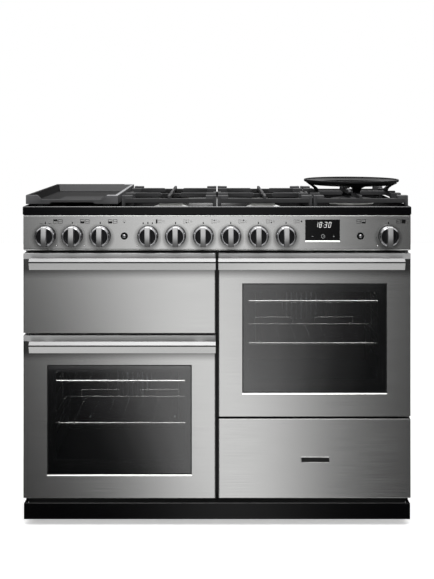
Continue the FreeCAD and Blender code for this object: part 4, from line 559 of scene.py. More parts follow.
def finish_piece(piece, material, body, slot, *nodes):
    """Gives a piece its material and its body, and hides the CAD nodes that it stands for. The slot is not
    used.
    """
    if not piece.data.materials:
        piece.data.materials.append(material)
    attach(piece, body)
    if nodes:
        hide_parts(*nodes)
    print(piece.name, "has", len(piece.data.polygons), "faces")


print("finish helpers ready")

# %% [markdown]
# ## Brushed stainless steel
# The fronts are thin 304 stainless sheet, ground with a belt so that fine scratches run from side
# to side. The eye gets a soft, blurred mirror with a silky line in it. The scratches are about
# 0.05 mm apart, far too fine for this picture, so the grain is drawn near 1.5 mm to show at all.
# Noise stretched along X gives it, and it moves the roughness and the height only a little.

# %% Brushed metal
GRAIN_PER_METRE = 620
GRAIN_STRETCH = 0.012
GRAIN_DETAIL = 3.0
GRAIN_ROUGHNESS_SPREAD = 0.05
GRAIN_HEIGHT = 0.008 * MM
GRAIN_TONE_LOW = 0.9
STEEL_COLOUR = "#CFCFCE"
STEEL_ROUGHNESS = 0.2


def brushed_metal(name, hex_colour, roughness, along="X", grain=GRAIN_PER_METRE):
    """Metal ground with a belt, its scratches running along one axis."""
    material = new_material(name, hex_colour, metallic=FULL, roughness=roughness)
    tree = material.node_tree
    shader = shader_of(material)
    place = add_node(tree, "ShaderNodeTexCoord", {})
    scale = [grain * GRAIN_STRETCH if axis == along else grain for axis in "XYZ"]
    stretched = add_node(tree, "ShaderNodeMapping", {"Vector": (place, "Object"), "Scale": scale})
    scratches = add_node(tree, "ShaderNodeTexNoise", {
        "Vector": (stretched, 0),
        "Scale": FULL,
        "Detail": GRAIN_DETAIL,
    })
    rough = add_node(tree, "ShaderNodeMapRange", {
        "Value": (scratches, "Fac"),
        "To Min": roughness - GRAIN_ROUGHNESS_SPREAD,
        "To Max": roughness + GRAIN_ROUGHNESS_SPREAD,
    })
    tone = add_node(tree, "ShaderNodeMapRange", {"Value": (scratches, "Fac"), "To Min": GRAIN_TONE_LOW})
    tinted = add_node(tree, "ShaderNodeMix", {
        FACTOR: FULL,
        COLOUR_A: linear(hex_colour),
        COLOUR_B: (tone, 0),
    }, data_type="RGBA", blend_type="MULTIPLY")
    bump = add_node(tree, "ShaderNodeBump", {"Height": (scratches, "Fac"), "Distance": GRAIN_HEIGHT})
    tree.links.new(tinted.outputs[MIXED], shader.inputs["Base Color"])
    tree.links.new(rough.outputs[0], shader.inputs["Roughness"])
    tree.links.new(bump.outputs[0], shader.inputs["Normal"])
    return material


brushed_stainless = brushed_metal("brushed_stainless_304", STEEL_COLOUR, STEEL_ROUGHNESS)
print("grain line", 1 / GRAIN_PER_METRE / MM, "mm")

# %% [markdown]
# Near a handle or a knob the steel mirrors that piece's own dark side and lies in its shade. A blurred
# mirror shows this only faintly in a render, so painted shade darkens the metal's colour there, by a tone
# that multiplies whatever feeds the base colour.

# %% Painted shade
def multiply_painted_shade(material, tone):
    """Paints shade by multiplying the base colour by the value of a tone node."""
    tree = material.node_tree
    colour = shader_of(material).inputs["Base Color"]
    before = colour.links[0].from_socket
    dimmed = add_node(tree, "ShaderNodeMix", {FACTOR: FULL, COLOUR_B: (tone, 0)},
                      data_type="RGBA", blend_type="MULTIPLY")
    tree.links.new(before, dimmed.inputs[COLOUR_A])
    tree.links.new(dimmed.outputs[MIXED], colour)


def paint_shade_by_height(material, low, high, low_tone, high_tone):
    """Paints shade, darkening the colour by a tone that changes smoothly from one height to another."""
    tree = material.node_tree
    place = add_node(tree, "ShaderNodeTexCoord", {})
    spot = add_node(tree, "ShaderNodeSeparateXYZ", {0: (place, "Object")})
    tone = add_node(tree, "ShaderNodeMapRange", {
        "Value": (spot, "Z"),
        "From Min": low,
        "From Max": high,
        "To Min": low_tone,
        "To Max": high_tone,
    }, interpolation_type="SMOOTHSTEP")
    multiply_painted_shade(material, tone)


print("dimming helpers ready")

# %% [markdown]
# ## Sheet-steel fronts
# The door skins, the drawer front and the control panel are pressed sheet, folded back at every
# edge. Their shapes are right in CAD, so each is a copy whose edges get the small fold radius.
# Each door gets a painted shadow for three centimetres below its handle. The strip above the handle keeps
# the satin finish of the raw sheet and takes a white colour as a painted highlight, so the door's faces are
# cut there and take a second material.

# %% Fronts
SKIN_FOLD = 1.6 * MM
FRONT_SKINS = {
    "left_door_skin": "left_door",
    "right_door_skin": "right_door",
    "grill_door_skin": "grill_door",
    "drawer_front": "drawer",
}
SHADE_DEPTH = 34 * MM
SHADE_TONE = 0.3
STRIP_DROP = 6 * MM
STRIP_ROUGHNESS = 0.45
# Painted highlight: a white copy of the steel for the strip above each handle
lit_strip_steel = brushed_metal("satin_steel_strip_painted_highlight", "#FFFFFF", STRIP_ROUGHNESS)


def cut_level(piece, level):
    """Cuts the piece's faces along a level, without taking anything away."""
    edit_all(piece)
    bpy.ops.mesh.bisect(plane_co=(0, 0, level), plane_no=(0, 0, 1))
    leave_edit()


for node, body in FRONT_SKINS.items():
    skin = copy_node(node + "_dressed", node)
    steel = brushed_stainless
    if body != "drawer":
        handle_low, handle_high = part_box(body + "_handle")
        steel = brushed_metal("brushed_stainless_" + body, STEEL_COLOUR, STEEL_ROUGHNESS)
        # Painted shadow for three centimetres below the handle
        paint_shade_by_height(steel, handle_low.z - SHADE_DEPTH, handle_low.z, FULL, SHADE_TONE)
        strip_level = handle_high.z - STRIP_DROP
        cut_level(skin, strip_level)
        lay_materials(skin, steel, lit_strip_steel)
        paint_faces(skin, lit_strip_steel, lambda place, normal: place.z > strip_level)
    round_edges(skin, SKIN_FOLD)
    finish_piece(skin, steel, body, "brushed_stainless", node)

# %% [markdown]
# Round each knob a painted shadow darkens the panel's tone in a soft ring. The distance to the nearest knob
# gives it, measured in the panel's own plane from a point a little below the knob's middle, as the light
# comes from above.

# %% Control panel
KNOBS = [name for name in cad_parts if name.startswith("knob_")]
PANEL_FOLD = 2.2 * MM
KNOB_SHADE_DROP = 5 * MM
KNOB_SHADE_START = 27 * MM
KNOB_SHADE_END = 44 * MM
KNOB_SHADE_TONE = 0.4
# Further than any place on the panel is from a knob
FAR = 1.0


def paint_knob_shadows(material):
    """Paints a shadow near the knobs, by the distance to the nearest of them."""
    tree = material.node_tree
    place = add_node(tree, "ShaderNodeTexCoord", {})
    flat = add_node(tree, "ShaderNodeVectorMath", {0: (place, "Object"), 1: (1, 0, 1)},
                    operation="MULTIPLY")
    nearest = add_node(tree, "ShaderNodeValue", {})
    nearest.outputs[0].default_value = FAR
    for knob in KNOBS:
        middle = middle_of(knob)
        spot = (middle.x, 0, middle.z - KNOB_SHADE_DROP)
        away = add_node(tree, "ShaderNodeVectorMath", {0: (flat, 0), 1: spot}, operation="DISTANCE")
        nearest = add_node(tree, "ShaderNodeMath", {0: (nearest, 0), 1: (away, "Value")},
                           operation="MINIMUM")
    tone = add_node(tree, "ShaderNodeMapRange", {
        "Value": (nearest, 0),
        "From Min": KNOB_SHADE_START,
        "From Max": KNOB_SHADE_END,
        "To Min": KNOB_SHADE_TONE,
        "To Max": FULL,
    }, interpolation_type="SMOOTHSTEP")
    multiply_painted_shade(material, tone)


panel_steel = brushed_metal("brushed_stainless_panel", STEEL_COLOUR, STEEL_ROUGHNESS)
# Painted shadows round the knobs
paint_knob_shadows(panel_steel)
panel = copy_node("control_panel_dressed", "control_panel")
round_edges(panel, PANEL_FOLD)
finish_piece(panel, panel_steel, "cooker", "brushed_stainless", "control_panel")

# %% [markdown]
# ## Handles
# Each handle is an extruded bar with a satin top, a dark groove near its upper edge and a lower face that
# leans back, so that it mirrors the white ground evenly while the doors behind it fade. It is ground like
# the doors. Its top faces take a darker grey as painted shade. The lean is made by moving the lower front
# edge back, and two level cuts part the groove's band off, so that it can take a flat black as a painted
# shadow.

# %% Handle finishes
HANDLE_ROUGHNESS = 0.2
GROOVE_ROUGHNESS = 0.7
TOP_ROUGHNESS = 0.42
handle_steel = brushed_metal("brushed_handle_steel", "#D6D6D5", HANDLE_ROUGHNESS)
# A flat black painted shadow for the handle's groove
groove_shadow = new_material("painted_groove_shadow", "#0C0C0C", roughness=GROOVE_ROUGHNESS)
# A darker grey painted shade for the handle's top faces
shaded_top_steel = brushed_metal("satin_handle_top_painted_shade", "#9A9A9A", TOP_ROUGHNESS)
print("handle finishes", handle_steel.name, groove_shadow.name, shaded_top_steel.name)

# %% Handles
HANDLE_ROUND = 0.8 * MM
HANDLE_FRONT = -324 * MM
HANDLE_LEAN = 7.3 * MM
GROOVE_LOW = 19.6 * MM
GROOVE_HIGH = 23.4 * MM
GROOVE_DEPTH = 3 * MM
UPWARD = 0.7
for side in ("left_door", "right_door", "grill_door"):
    node = side + "_handle"
    handle = copy_node(node + "_dressed", node)
    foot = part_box(node)[0].z
    edit_edges(handle, lambda start, end: max(start.z, end.z) < foot + MM
               and max(start.y, end.y) < HANDLE_FRONT + MM)
    bpy.ops.transform.translate(value=(0, HANDLE_LEAN, 0))
    leave_edit()
    cut_level(handle, foot + GROOVE_LOW)
    cut_level(handle, foot + GROOVE_HIGH)
    round_edges(handle, HANDLE_ROUND)
    lay_materials(handle, handle_steel, groove_shadow, shaded_top_steel)
    paint_faces(handle, shaded_top_steel, lambda place, normal: normal.z > UPWARD)
    paint_faces(handle, groove_shadow, lambda place, normal: GROOVE_LOW < place.z - foot < GROOVE_HIGH
                and place.y < HANDLE_FRONT + GROOVE_DEPTH)
    finish_piece(handle, handle_steel, side, "brushed_stainless", node)

# %% [markdown]
# ## Knobs
# A control knob of this kind is die-cast zinc: a domed rim plated with bright chrome, a floor of satin
# black chrome and a bar across it for the fingers, ground lengthwise. The chrome is almost a mirror, the
# black chrome a dark, blurred one. The bar's colour is painted from bright at the top to dark at the foot,
# a painted reflection of the dark part of the room that the crowned metal mirrors.

# %% Knob finishes
CHROME_ROUGHNESS = 0.09
KNOB_FLOOR_ROUGHNESS = 0.34
KNOB_FLOOR_METALLIC = 0.85
KNOB_GRAIN = 900
KNOB_BAR_ROUGHNESS = 0.36
BAR_FADE_TOP = 831 * MM
BAR_FADE_FOOT = 797 * MM
BAR_FADE_TONE = 0.3
knob_chrome = new_material("polished_chrome_plate", "#BCBCBE", metallic=FULL, roughness=CHROME_ROUGHNESS)
knob_floor = new_material("satin_black_chrome", "#262628", metallic=KNOB_FLOOR_METALLIC,
                          roughness=KNOB_FLOOR_ROUGHNESS)
knob_bar_metal = brushed_metal("brushed_zinc_die_casting", "#FBFBFB", KNOB_BAR_ROUGHNESS, "Z", KNOB_GRAIN)
# Painted reflection: the bar's colour darkens towards its foot
paint_shade_by_height(knob_bar_metal, BAR_FADE_FOOT, BAR_FADE_TOP, BAR_FADE_TONE, FULL)
print("knob bar fades over", BAR_FADE_TOP - BAR_FADE_FOOT, "m")

# %% [markdown]
# Nothing that is wiped and handled stays evenly smooth. A cloudy noise that moves the roughness a
# little breaks up the highlights, here and on most finishes below.

# %% Wear
WEAR_PER_METRE = 260
WEAR_SPREAD = 0.05
WEAR_DETAIL = 4.0


def add_wear(material, roughness, spread=WEAR_SPREAD):
    """Lets the roughness wander a little, as wiping and handling leave it."""
    tree = material.node_tree
    place = add_node(tree, "ShaderNodeTexCoord", {})
    cloud = add_node(tree, "ShaderNodeTexNoise", {
        "Vector": (place, "Object"),
        "Scale": WEAR_PER_METRE,
        "Detail": WEAR_DETAIL,
    })
    rough = add_node(tree, "ShaderNodeMapRange", {
        "Value": (cloud, "Fac"),
        "To Min": roughness - spread,
        "To Max": roughness + spread,
    })
    tree.links.new(rough.outputs[0], shader_of(material).inputs["Roughness"])


def worn_material(name, hex_colour, roughness, **values):
    """A material whose roughness carries the usual wear."""
    material = new_material(name, hex_colour, roughness=roughness, **values)
    add_wear(material, roughness)
    return material


add_wear(knob_chrome, CHROME_ROUGHNESS)
add_wear(knob_floor, KNOB_FLOOR_ROUGHNESS)
print("wear every", 1 / WEAR_PER_METRE / MM, "mm")

# %% [markdown]
# A lathe could turn the rim from a profile, but pushing the front face out in steps, each a little
# smaller, gives the same dome and is easier to adjust. Steps that go inwards make the dish.

# %% Knob body
KNOB_HEIGHT = 821 * MM
KNOB_RADIUS = 29.5 * MM
KNOB_BACK = -289 * MM
KNOB_SKIRT = 4 * MM
KNOB_SIDES = 72
# How far forward each step goes, and the share of its radius that the face keeps
DOME_STEPS = ((4.5 * MM, 0.985), (3.0 * MM, 0.955), (2.2 * MM, 0.93), (1.3 * MM, 0.93))
CREST_WIDTH = 0.9 * MM
DISH_STEPS = ((-6.5 * MM, 0.93), (-2.0 * MM, 0.93))
FORWARDS = Vector((0, -1, 0))


def push_face(way, steps, centre):
    """Extrudes the selected face in steps along one way, each time scaled about the centre."""
    for distance, share in steps:
        bpy.ops.mesh.extrude_region_move(TRANSFORM_OT_translate={"value": way * distance})
        centre = centre + way * distance
        bpy.ops.transform.resize(value=(share, share, share), center_override=centre)


def make_knob_body():
    """A domed rim round a dished floor, in the middle of the panel."""
    front = KNOB_BACK - KNOB_SKIRT
    middle = Vector((0, (KNOB_BACK + front) / 2, KNOB_HEIGHT))
    body = add_disc("knob_body_model", middle, KNOB_RADIUS, KNOB_SKIRT, KNOB_SIDES)
    edit_faces(body, lambda place, normal: normal.y < -HALF)
    push_face(FORWARDS, DOME_STEPS, Vector((0, front, KNOB_HEIGHT)))
    bpy.ops.mesh.inset(thickness=CREST_WIDTH)
    crest = front - sum(step for step, share in DOME_STEPS)
    push_face(FORWARDS, DISH_STEPS, Vector((0, crest, KNOB_HEIGHT)))
    leave_edit()
    lay_materials(body, knob_chrome, knob_floor)
    floor_depth = crest - sum(step for step, share in DISH_STEPS)
    paint_faces(body, knob_floor, lambda place, normal: normal.y < -HALF and place.y > floor_depth - MM)
    smooth(body)
    return body


knob_body = make_knob_body()
print("knob body faces", len(knob_body.data.polygons))

# %% [markdown]
# The bar is a slice of a very large cylinder, so that its front is crowned. Three cuts leave the
# slice, and each cut is closed with a face.

# %% Knob bar
BAR_HALF_WIDTH = 7.3 * MM
BAR_HALF_LENGTH = 28.2 * MM
BAR_FRONT = -318 * MM
BAR_BACK = -294 * MM
BAR_CROWN = 135 * MM
BAR_SIDES = 320
BAR_ROUND = 1.1 * MM


def keep_side(point, away):
    """Cuts the open mesh with a plane and drops what lies on its far side, closing the cut."""
    bpy.ops.mesh.select_all(action="SELECT")
    bpy.ops.mesh.bisect(plane_co=point, plane_no=away, use_fill=True, clear_outer=True)


def make_knob_bar():
    """A slice of a large cylinder, cut to the bar's length and depth."""
    middle = Vector((0, BAR_FRONT + BAR_CROWN, KNOB_HEIGHT))
    bar = add_disc("knob_bar_model", middle, BAR_CROWN, BAR_HALF_WIDTH * 2, BAR_SIDES, (0, QUARTER_TURN, 0))
    edit_all(bar)
    keep_side(Vector((0, BAR_BACK, KNOB_HEIGHT)), Vector((0, 1, 0)))
    for way in (1, -1):
        keep_side(Vector((0, BAR_BACK, KNOB_HEIGHT + BAR_HALF_LENGTH * way)), Vector((0, 0, way)))
    leave_edit()
    face_outwards(bar)
    round_edges(bar, BAR_ROUND)
    return bar


knob_bar = make_knob_bar()
print("knob bar faces", len(knob_bar.data.polygons))

# %% Copy the knobs
for node in KNOBS:
    shift = Vector((middle_of(node).x, 0, 0))
    body = copy_model(knob_body, node + "_rim", shift)
    bar = copy_model(knob_bar, node + "_bar", shift)
    finish_piece(body, knob_chrome, node, "polished_knob_metal", node)
    finish_piece(bar, knob_bar_metal, node, "polished_knob_metal", node)
for model in (knob_body, knob_bar):
    bpy.data.objects.remove(model)

# %% [markdown]
# ## Buttons
# The two push buttons are plated domes that stand in rings moulded from black phenolic, which
# gives the eye a deep black with a soft highlight. CAD has the dome, and what it lacks is the
# shoulder that carries the highlight, so each is pushed out in steps as well.

# %% Buttons
BUTTONS = ("button_oven_light", "button_ignition")
BUTTON_FRONT = -291 * MM
BUTTON_DEPTH = 20 * MM
BUTTON_RADIUS = 4.8 * MM
BUTTON_SIDES = 48
BUTTON_SHOULDER = 2.4 * MM
BUTTON_STEPS = ((0.9 * MM, 0.94), (0.7 * MM, 0.84), (0.5 * MM, 0.68), (0.3 * MM, 0.4))
for node in BUTTONS:
    centre = middle_of(node)
    start = BUTTON_FRONT + BUTTON_SHOULDER
    middle = Vector((centre.x, start + BUTTON_DEPTH / 2, centre.z))
    button = add_disc(node + "_dome", middle, BUTTON_RADIUS, BUTTON_DEPTH, BUTTON_SIDES)
    edit_faces(button, lambda place, normal: normal.y < -HALF)
    push_face(FORWARDS, BUTTON_STEPS, Vector((centre.x, start, centre.z)))
    leave_edit()
    smooth(button)
    finish_piece(button, knob_chrome, node, "polished_knob_metal", node)

# %% Button rings
PANEL_FACE = -284 * MM
RING_RADIUS = 10.4 * MM
RING_THICK = 1.2 * MM
RING_STEPS = ((0.8 * MM, 0.94), (0.3 * MM, 0.86))
RING_HOLE = 6.0 * MM
RING_GLOSS = 0.2
RING_SPECULAR = 0.3
ring_black = worn_material("moulded_gloss_phenolic", "#060607", RING_GLOSS,
                           specular_ior_level=RING_SPECULAR)
ring_top = RING_RADIUS * RING_STEPS[0][1] * RING_STEPS[1][1]
for node in BUTTONS:
    centre = middle_of(node)
    front = PANEL_FACE - RING_THICK
    middle = Vector((centre.x, front + RING_THICK / 2, centre.z))
    ring = add_disc(node + "_ring", middle, RING_RADIUS, RING_THICK, BUTTON_SIDES)
    edit_faces(ring, lambda place, normal: normal.y < -HALF)
    push_face(FORWARDS, RING_STEPS, Vector((centre.x, front, centre.z)))
    bpy.ops.mesh.inset(thickness=ring_top - RING_HOLE)
    bpy.ops.mesh.extrude_region_move(TRANSFORM_OT_translate={"value": (0, RING_THICK, 0)})
    leave_edit()
    smooth(ring)
    finish_piece(ring, ring_black, "cooker", "fitting_plastic")

# %% [markdown]
# ## Flat prints
# Marks on the panel and the glass are a film a tenth of a millimetre thick, so every mark is a
# thin flat shape just in front of the face: a bar, a ring, or a frame.

# %% Print helpers
PRINT_LIFT = 0.12 * MM
PRINT_DEPTH = 0.1 * MM
PRINT_FACE = PANEL_FACE - PRINT_LIFT
PRINT_SIDES = 24


def print_bar(low_x, high_x, low_z, high_z):
    """A printed bar on the panel's face."""
    return add_block("print_bar", (low_x, PRINT_FACE, low_z), (high_x, PRINT_FACE + PRINT_DEPTH, high_z))


def hollow_print(piece, line):
    """Keeps only a border of a flat printed shape."""
    edit_all(piece, "FACE")
    bpy.ops.mesh.inset(thickness=line)
    bpy.ops.mesh.delete(type="FACE")
    leave_edit()


def print_ring(x, z, radius, line):
    """A printed ring. With line zero it is a full dot."""
    bpy.ops.object.select_all(action="DESELECT")
    bpy.ops.mesh.primitive_circle_add(vertices=PRINT_SIDES, radius=radius, fill_type="NGON",
                                      location=(x, PRINT_FACE, z), rotation=(QUARTER_TURN, 0, 0))
    piece = bpy.context.object
    settle(piece)
    if line:
        hollow_print(piece, line)
    return piece


def print_frame(low_x, high_x, low_z, high_z, line):
    """A printed rectangle of which only the border shows."""
    bpy.ops.object.select_all(action="DESELECT")
    middle = ((low_x + high_x) / 2, PRINT_FACE, (low_z + high_z) / 2)
    bpy.ops.mesh.primitive_plane_add(size=1, location=middle, rotation=(QUARTER_TURN, 0, 0))
    piece = bpy.context.object
    piece.scale = (high_x - low_x, high_z - low_z, 1)
    settle(piece)
    hollow_print(piece, line)
    return piece


print("prints stand proud by", PRINT_LIFT, "m")

# %% [markdown]
# ## Clock
# The clock is a black glass window with pale digits behind it and three touch signs. The glass is
# a sharp, weak mirror over black, and the digits glow a little on their own. They are built from
# lit bars, as in the real display, and slanted by sliding each level of the bars a little further
# than the one below.

# %% Clock finishes
DISPLAY_GLOSS = 0.08
DISPLAY_SPECULAR = 0.2
LIT_ROUGHNESS = 0.5
DIGIT_GLOW = 0.5
SIGN_GLOW = 0.15
display_glass = worn_material("black_display_glass", "#060607", DISPLAY_GLOSS,
                              specular_ior_level=DISPLAY_SPECULAR)
lit_sign = new_material("lit_segment_white", "#E8E8E8", roughness=LIT_ROUGHNESS,
                        emission_color="#F4F6F6", emission_strength=DIGIT_GLOW)
touch_print = new_material("dim_segment_grey", "#9A9C9C", roughness=LIT_ROUGHNESS,
                           emission_color="#B8BABA", emission_strength=SIGN_GLOW)
paint_nodes(display_glass, "clock_display")

# %% Clock digits
CLOCK_BARS = {
    "0": ("top", "bottom", "left_high", "left_low", "right_high", "right_low"),
    "1": ("right_high", "right_low"),
    "3": ("top", "middle", "bottom", "right_high", "right_low"),
    "8": ("top", "middle", "bottom", "left_high", "left_low", "right_high", "right_low"),
}
DIGIT_WIDTH = 6.6 * MM
DIGIT_HEIGHT = 15.4 * MM
DIGIT_LINE = 0.9 * MM
DIGIT_GAP = 0.3 * MM
CLOCK_FOOT = 845 * MM
CLOCK_DIGITS = (("1", 277.5 * MM), ("8", 288.4 * MM), ("3", 303 * MM), ("0", 314.6 * MM))
COLON_PLACE = 299.6 * MM
COLON_LEVELS = (849 * MM, 855.5 * MM)


def clock_bar(left, low, width, height):
    """One lit bar on the clock's glass."""
    return print_bar(left, left + width, low, low + height)


def clock_digit(sign, left):
    """The lit bars of one digit, as in a seven-bar display."""
    half = DIGIT_HEIGHT / 2
    right = left + DIGIT_WIDTH - DIGIT_LINE
    length = half - DIGIT_LINE
    upper = CLOCK_FOOT + half + DIGIT_GAP
    lower = CLOCK_FOOT + DIGIT_LINE + DIGIT_GAP
    places = {
        "top": (left, CLOCK_FOOT + DIGIT_HEIGHT - DIGIT_LINE, DIGIT_WIDTH, DIGIT_LINE),
        "middle": (left, CLOCK_FOOT + half - DIGIT_LINE / 2, DIGIT_WIDTH, DIGIT_LINE),
        "bottom": (left, CLOCK_FOOT, DIGIT_WIDTH, DIGIT_LINE),
        "left_high": (left, upper, DIGIT_LINE, length),
        "left_low": (left, lower, DIGIT_LINE, length - DIGIT_GAP),
        "right_high": (right, upper, DIGIT_LINE, length),
        "right_low": (right, lower, DIGIT_LINE, length - DIGIT_GAP),
    }
    return [clock_bar(*places[bar]) for bar in CLOCK_BARS[sign]]


bars = []
for sign, left in CLOCK_DIGITS:
    bars.extend(clock_digit(sign, left))
for level in COLON_LEVELS:
    bars.append(clock_bar(COLON_PLACE, level, DIGIT_LINE, DIGIT_LINE))
digits = join_as("clock_digits", bars)
print("clock bars", len(bars))

# %% Slant the digits
DIGIT_SLANT = 0.2
LEVEL_DIGITS = 6
LEVEL_NEAR = 0.002 * MM
levels = {round(point.co.z, LEVEL_DIGITS) for point in digits.data.vertices}
for level in levels:
    edit_edges(digits, lambda start, end: abs(start.z - level) < LEVEL_NEAR
               and abs(end.z - level) < LEVEL_NEAR)
    bpy.ops.transform.translate(value=((level - CLOCK_FOOT) * DIGIT_SLANT, 0, 0))
    leave_edit()
finish_piece(digits, lit_sign, "cooker", "black_display_glass")

# %% Touch signs
SIGN_HEIGHT = 820 * MM
SIGN_PLACES = (270.5 * MM, 300.5 * MM, 330.5 * MM)
SIGN_ARM = 2.2 * MM
SIGN_LINE = 0.9 * MM
CLOCK_SIGN_RADIUS = 5.5 * MM
minus, clock_sign, plus = SIGN_PLACES
half_line = SIGN_LINE / 2
low = SIGN_HEIGHT - half_line
high = SIGN_HEIGHT + half_line
signs = [
    print_bar(minus - SIGN_ARM, minus + SIGN_ARM, low, high),
    print_bar(plus - SIGN_ARM, plus + SIGN_ARM, low, high),
    print_bar(plus - half_line, plus + half_line, SIGN_HEIGHT - SIGN_ARM, SIGN_HEIGHT + SIGN_ARM),
    print_ring(clock_sign, SIGN_HEIGHT, CLOCK_SIGN_RADIUS, SIGN_LINE),
    print_bar(clock_sign, clock_sign + SIGN_ARM, low, high),
]
finish_piece(join_as("clock_touch_signs", signs), touch_print, "cooker", "black_display_glass")

# %% [markdown]
# A sloping ledge under the clock, and later under each oven window, catches the light from above
# as a bright line.

# %% Ledges that catch the light
LEDGE_HEIGHT = 2.6 * MM
LEDGE_REACH = 2.1 * MM


def add_ledge(name, left, right, top, body):
    """A strip under an opening whose face slopes outwards towards its foot."""
    ledge = add_block(name, (left, PANEL_FACE - LEDGE_REACH, top - LEDGE_HEIGHT), (right, PANEL_FACE, top))
    edit_edges(ledge, lambda start, end: min(start.z, end.z) > top - MM
               and max(start.y, end.y) < PANEL_FACE - MM)
    bpy.ops.transform.translate(value=(0, LEDGE_REACH - PRINT_LIFT, 0))
    leave_edit()
    round_edges(ledge, PRINT_LIFT)
    finish_piece(ledge, handle_steel, body, "brushed_stainless")


low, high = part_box("clock_display")
add_ledge("clock_ledge", low.x, high.x, low.z - MM, "cooker")

# %% [markdown]
# ## Printed signs on the panel
# Each knob has a short mark above it and a small plan that shows what it works: two ovens side by
# side for the outer knobs, the hob's layout for the inner ones. The ink is baked on, and gives the
# eye a dull black that shows no mirror of the room.

# %% Panel ink and oven plans
PLAN_SHIFT = 22.5 * MM
PLAN_LOW = 856.5 * MM
PLAN_SIZE = 11.5 * MM
PLAN_GAP = 2.6 * MM
PLAN_LINE = 1.0 * MM
INK_ROUGHNESS = 0.8
INK_SPECULAR = 0.2
BUTTON_PLAN_SHIFT = 33 * MM
# Which of the two ovens is filled, and from which share of its height to which
OVEN_PLANS = {
    "knob_grill": (0, 0.55, 1.0),
    "knob_left_oven_function": (0, 0.0, 0.52),
    "knob_left_oven_heat": (0, 0.0, 0.52),
    "knob_right_oven": (1, 0.1, 1.0),
    "button_ignition": (1, 0.0, 0.38),
}
panel_ink = worn_material("black_panel_ink", "#060606", INK_ROUGHNESS, specular_ior_level=INK_SPECULAR)
marks = []


def oven_plan(x, filled):
    """Two square outlines side by side, one of them partly filled and the other with a line."""
    step = PLAN_SIZE + PLAN_GAP
    for index in range(2):
        left = x + PLAN_SHIFT + step * index
        marks.append(print_frame(left, left + PLAN_SIZE, PLAN_LOW, PLAN_LOW + PLAN_SIZE, PLAN_LINE))
    square, start, end = filled
    left = x + PLAN_SHIFT + step * square
    low = PLAN_LOW + PLAN_SIZE * start
    high = PLAN_LOW + PLAN_SIZE * end
    marks.append(print_bar(left, left + PLAN_SIZE, low, high))
    middle = PLAN_LOW + PLAN_SIZE / 2
    other = x + PLAN_SHIFT + step * (1 - square)
    marks.append(print_bar(other, other + PLAN_SIZE, middle - PLAN_LINE / 2, middle + PLAN_LINE / 2))


for node, filled in OVEN_PLANS.items():
    shift = BUTTON_PLAN_SHIFT if node in BUTTONS else 0
    oven_plan(middle_of(node).x - shift, filled)
print("oven plans", len(OVEN_PLANS))

# %% Hob plans
HOB_DOT = 1.9 * MM
HOB_DOT_LINE = 0.5 * MM
HOTPLATE_WIDTH = 4.6 * MM
LEFT_COLUMN = 8.6 * MM
RIGHT_COLUMN = 14.2 * MM
WOK_COLUMN = 21.5 * MM
LOW_ROW = 2.6 * MM
WOK_ROW = 5.8 * MM
HIGH_ROW = 9 * MM
WOK_DOT = 2.5 * MM
HOB_RINGS = (
    (LEFT_COLUMN, LOW_ROW, HOB_DOT),
    (LEFT_COLUMN, HIGH_ROW, HOB_DOT),
    (RIGHT_COLUMN, HIGH_ROW, HOB_DOT),
    (RIGHT_COLUMN, LOW_ROW, HOB_DOT),
    (WOK_COLUMN, WOK_ROW, WOK_DOT),
)
# Which of the five rings is filled. The hotplate's own knob fills the rectangle instead.
HOB_PLANS = {
    "knob_hotplate": None,
    "knob_burner_1": 0,
    "knob_burner_2": 1,
    "knob_burner_3": 2,
    "knob_burner_4": 3,
    "knob_wok_burner": 4,
}


def hob_plan(x, active):
    """The hotplate's rectangle, four rings and the wok ring, with the active one filled."""
    left = x + PLAN_SHIFT
    if active is None:
        marks.append(print_bar(left, left + HOTPLATE_WIDTH, PLAN_LOW, PLAN_LOW + PLAN_SIZE))
    else:
        marks.append(print_frame(left, left + HOTPLATE_WIDTH, PLAN_LOW, PLAN_LOW + PLAN_SIZE,
                                 HOB_DOT_LINE))
    for index, (across, up, radius) in enumerate(HOB_RINGS):
        line = 0 if index == active else HOB_DOT_LINE
        marks.append(print_ring(left + across, PLAN_LOW + up, radius, line))


for node, active in HOB_PLANS.items():
    hob_plan(middle_of(node).x, active)
print("marks so far", len(marks))

# %% Marks above the knobs
MARK_HALF_WIDTH = 1.3 * MM
MARK_LOW = 854.5 * MM
MARK_HIGH = 861 * MM
HOTPLATE_MARKS = (-13.5 * MM, 12.5 * MM)
TICK_PLACES = (10 * MM, 15 * MM)
TICK_HALF = 1.7 * MM
TICK_LOW = 855.5 * MM
TICK_HEIGHT = 1.3 * MM


def add_mark(x, low, high):
    """A short upright mark."""
    marks.append(print_bar(x - MARK_HALF_WIDTH, x + MARK_HALF_WIDTH, low, high))


for node in KNOBS:
    add_mark(middle_of(node).x, MARK_LOW, MARK_HIGH)
for place in TICK_PLACES:
    for way in (-1, 1):
        x = middle_of("knob_grill").x + place * way
        marks.append(print_bar(x - TICK_HALF, x + TICK_HALF, TICK_LOW, TICK_LOW + TICK_HEIGHT))
for shift in HOTPLATE_MARKS:
    add_mark(middle_of("knob_hotplate").x + shift, MARK_LOW, MARK_HIGH - MARK_HALF_WIDTH)
print("marks so far", len(marks))

# %% Sign of the oven light
BULB_LOW = 860 * MM
BULB_RADIUS = 3.6 * MM
BULB_FOOT = 2.2 * MM
bulb_x = middle_of("button_oven_light").x
marks.append(print_ring(bulb_x, BULB_LOW + BULB_RADIUS, BULB_RADIUS, HOB_DOT_LINE))
add_mark(bulb_x, BULB_LOW - BULB_FOOT, BULB_LOW)
finish_piece(join_as("panel_print", marks), panel_ink, "cooker", "brushed_stainless")

# %% [markdown]
# Low on the panel four small warning lamps show that an oven is heating. Each is a pale lens in a
# thin dark ring.

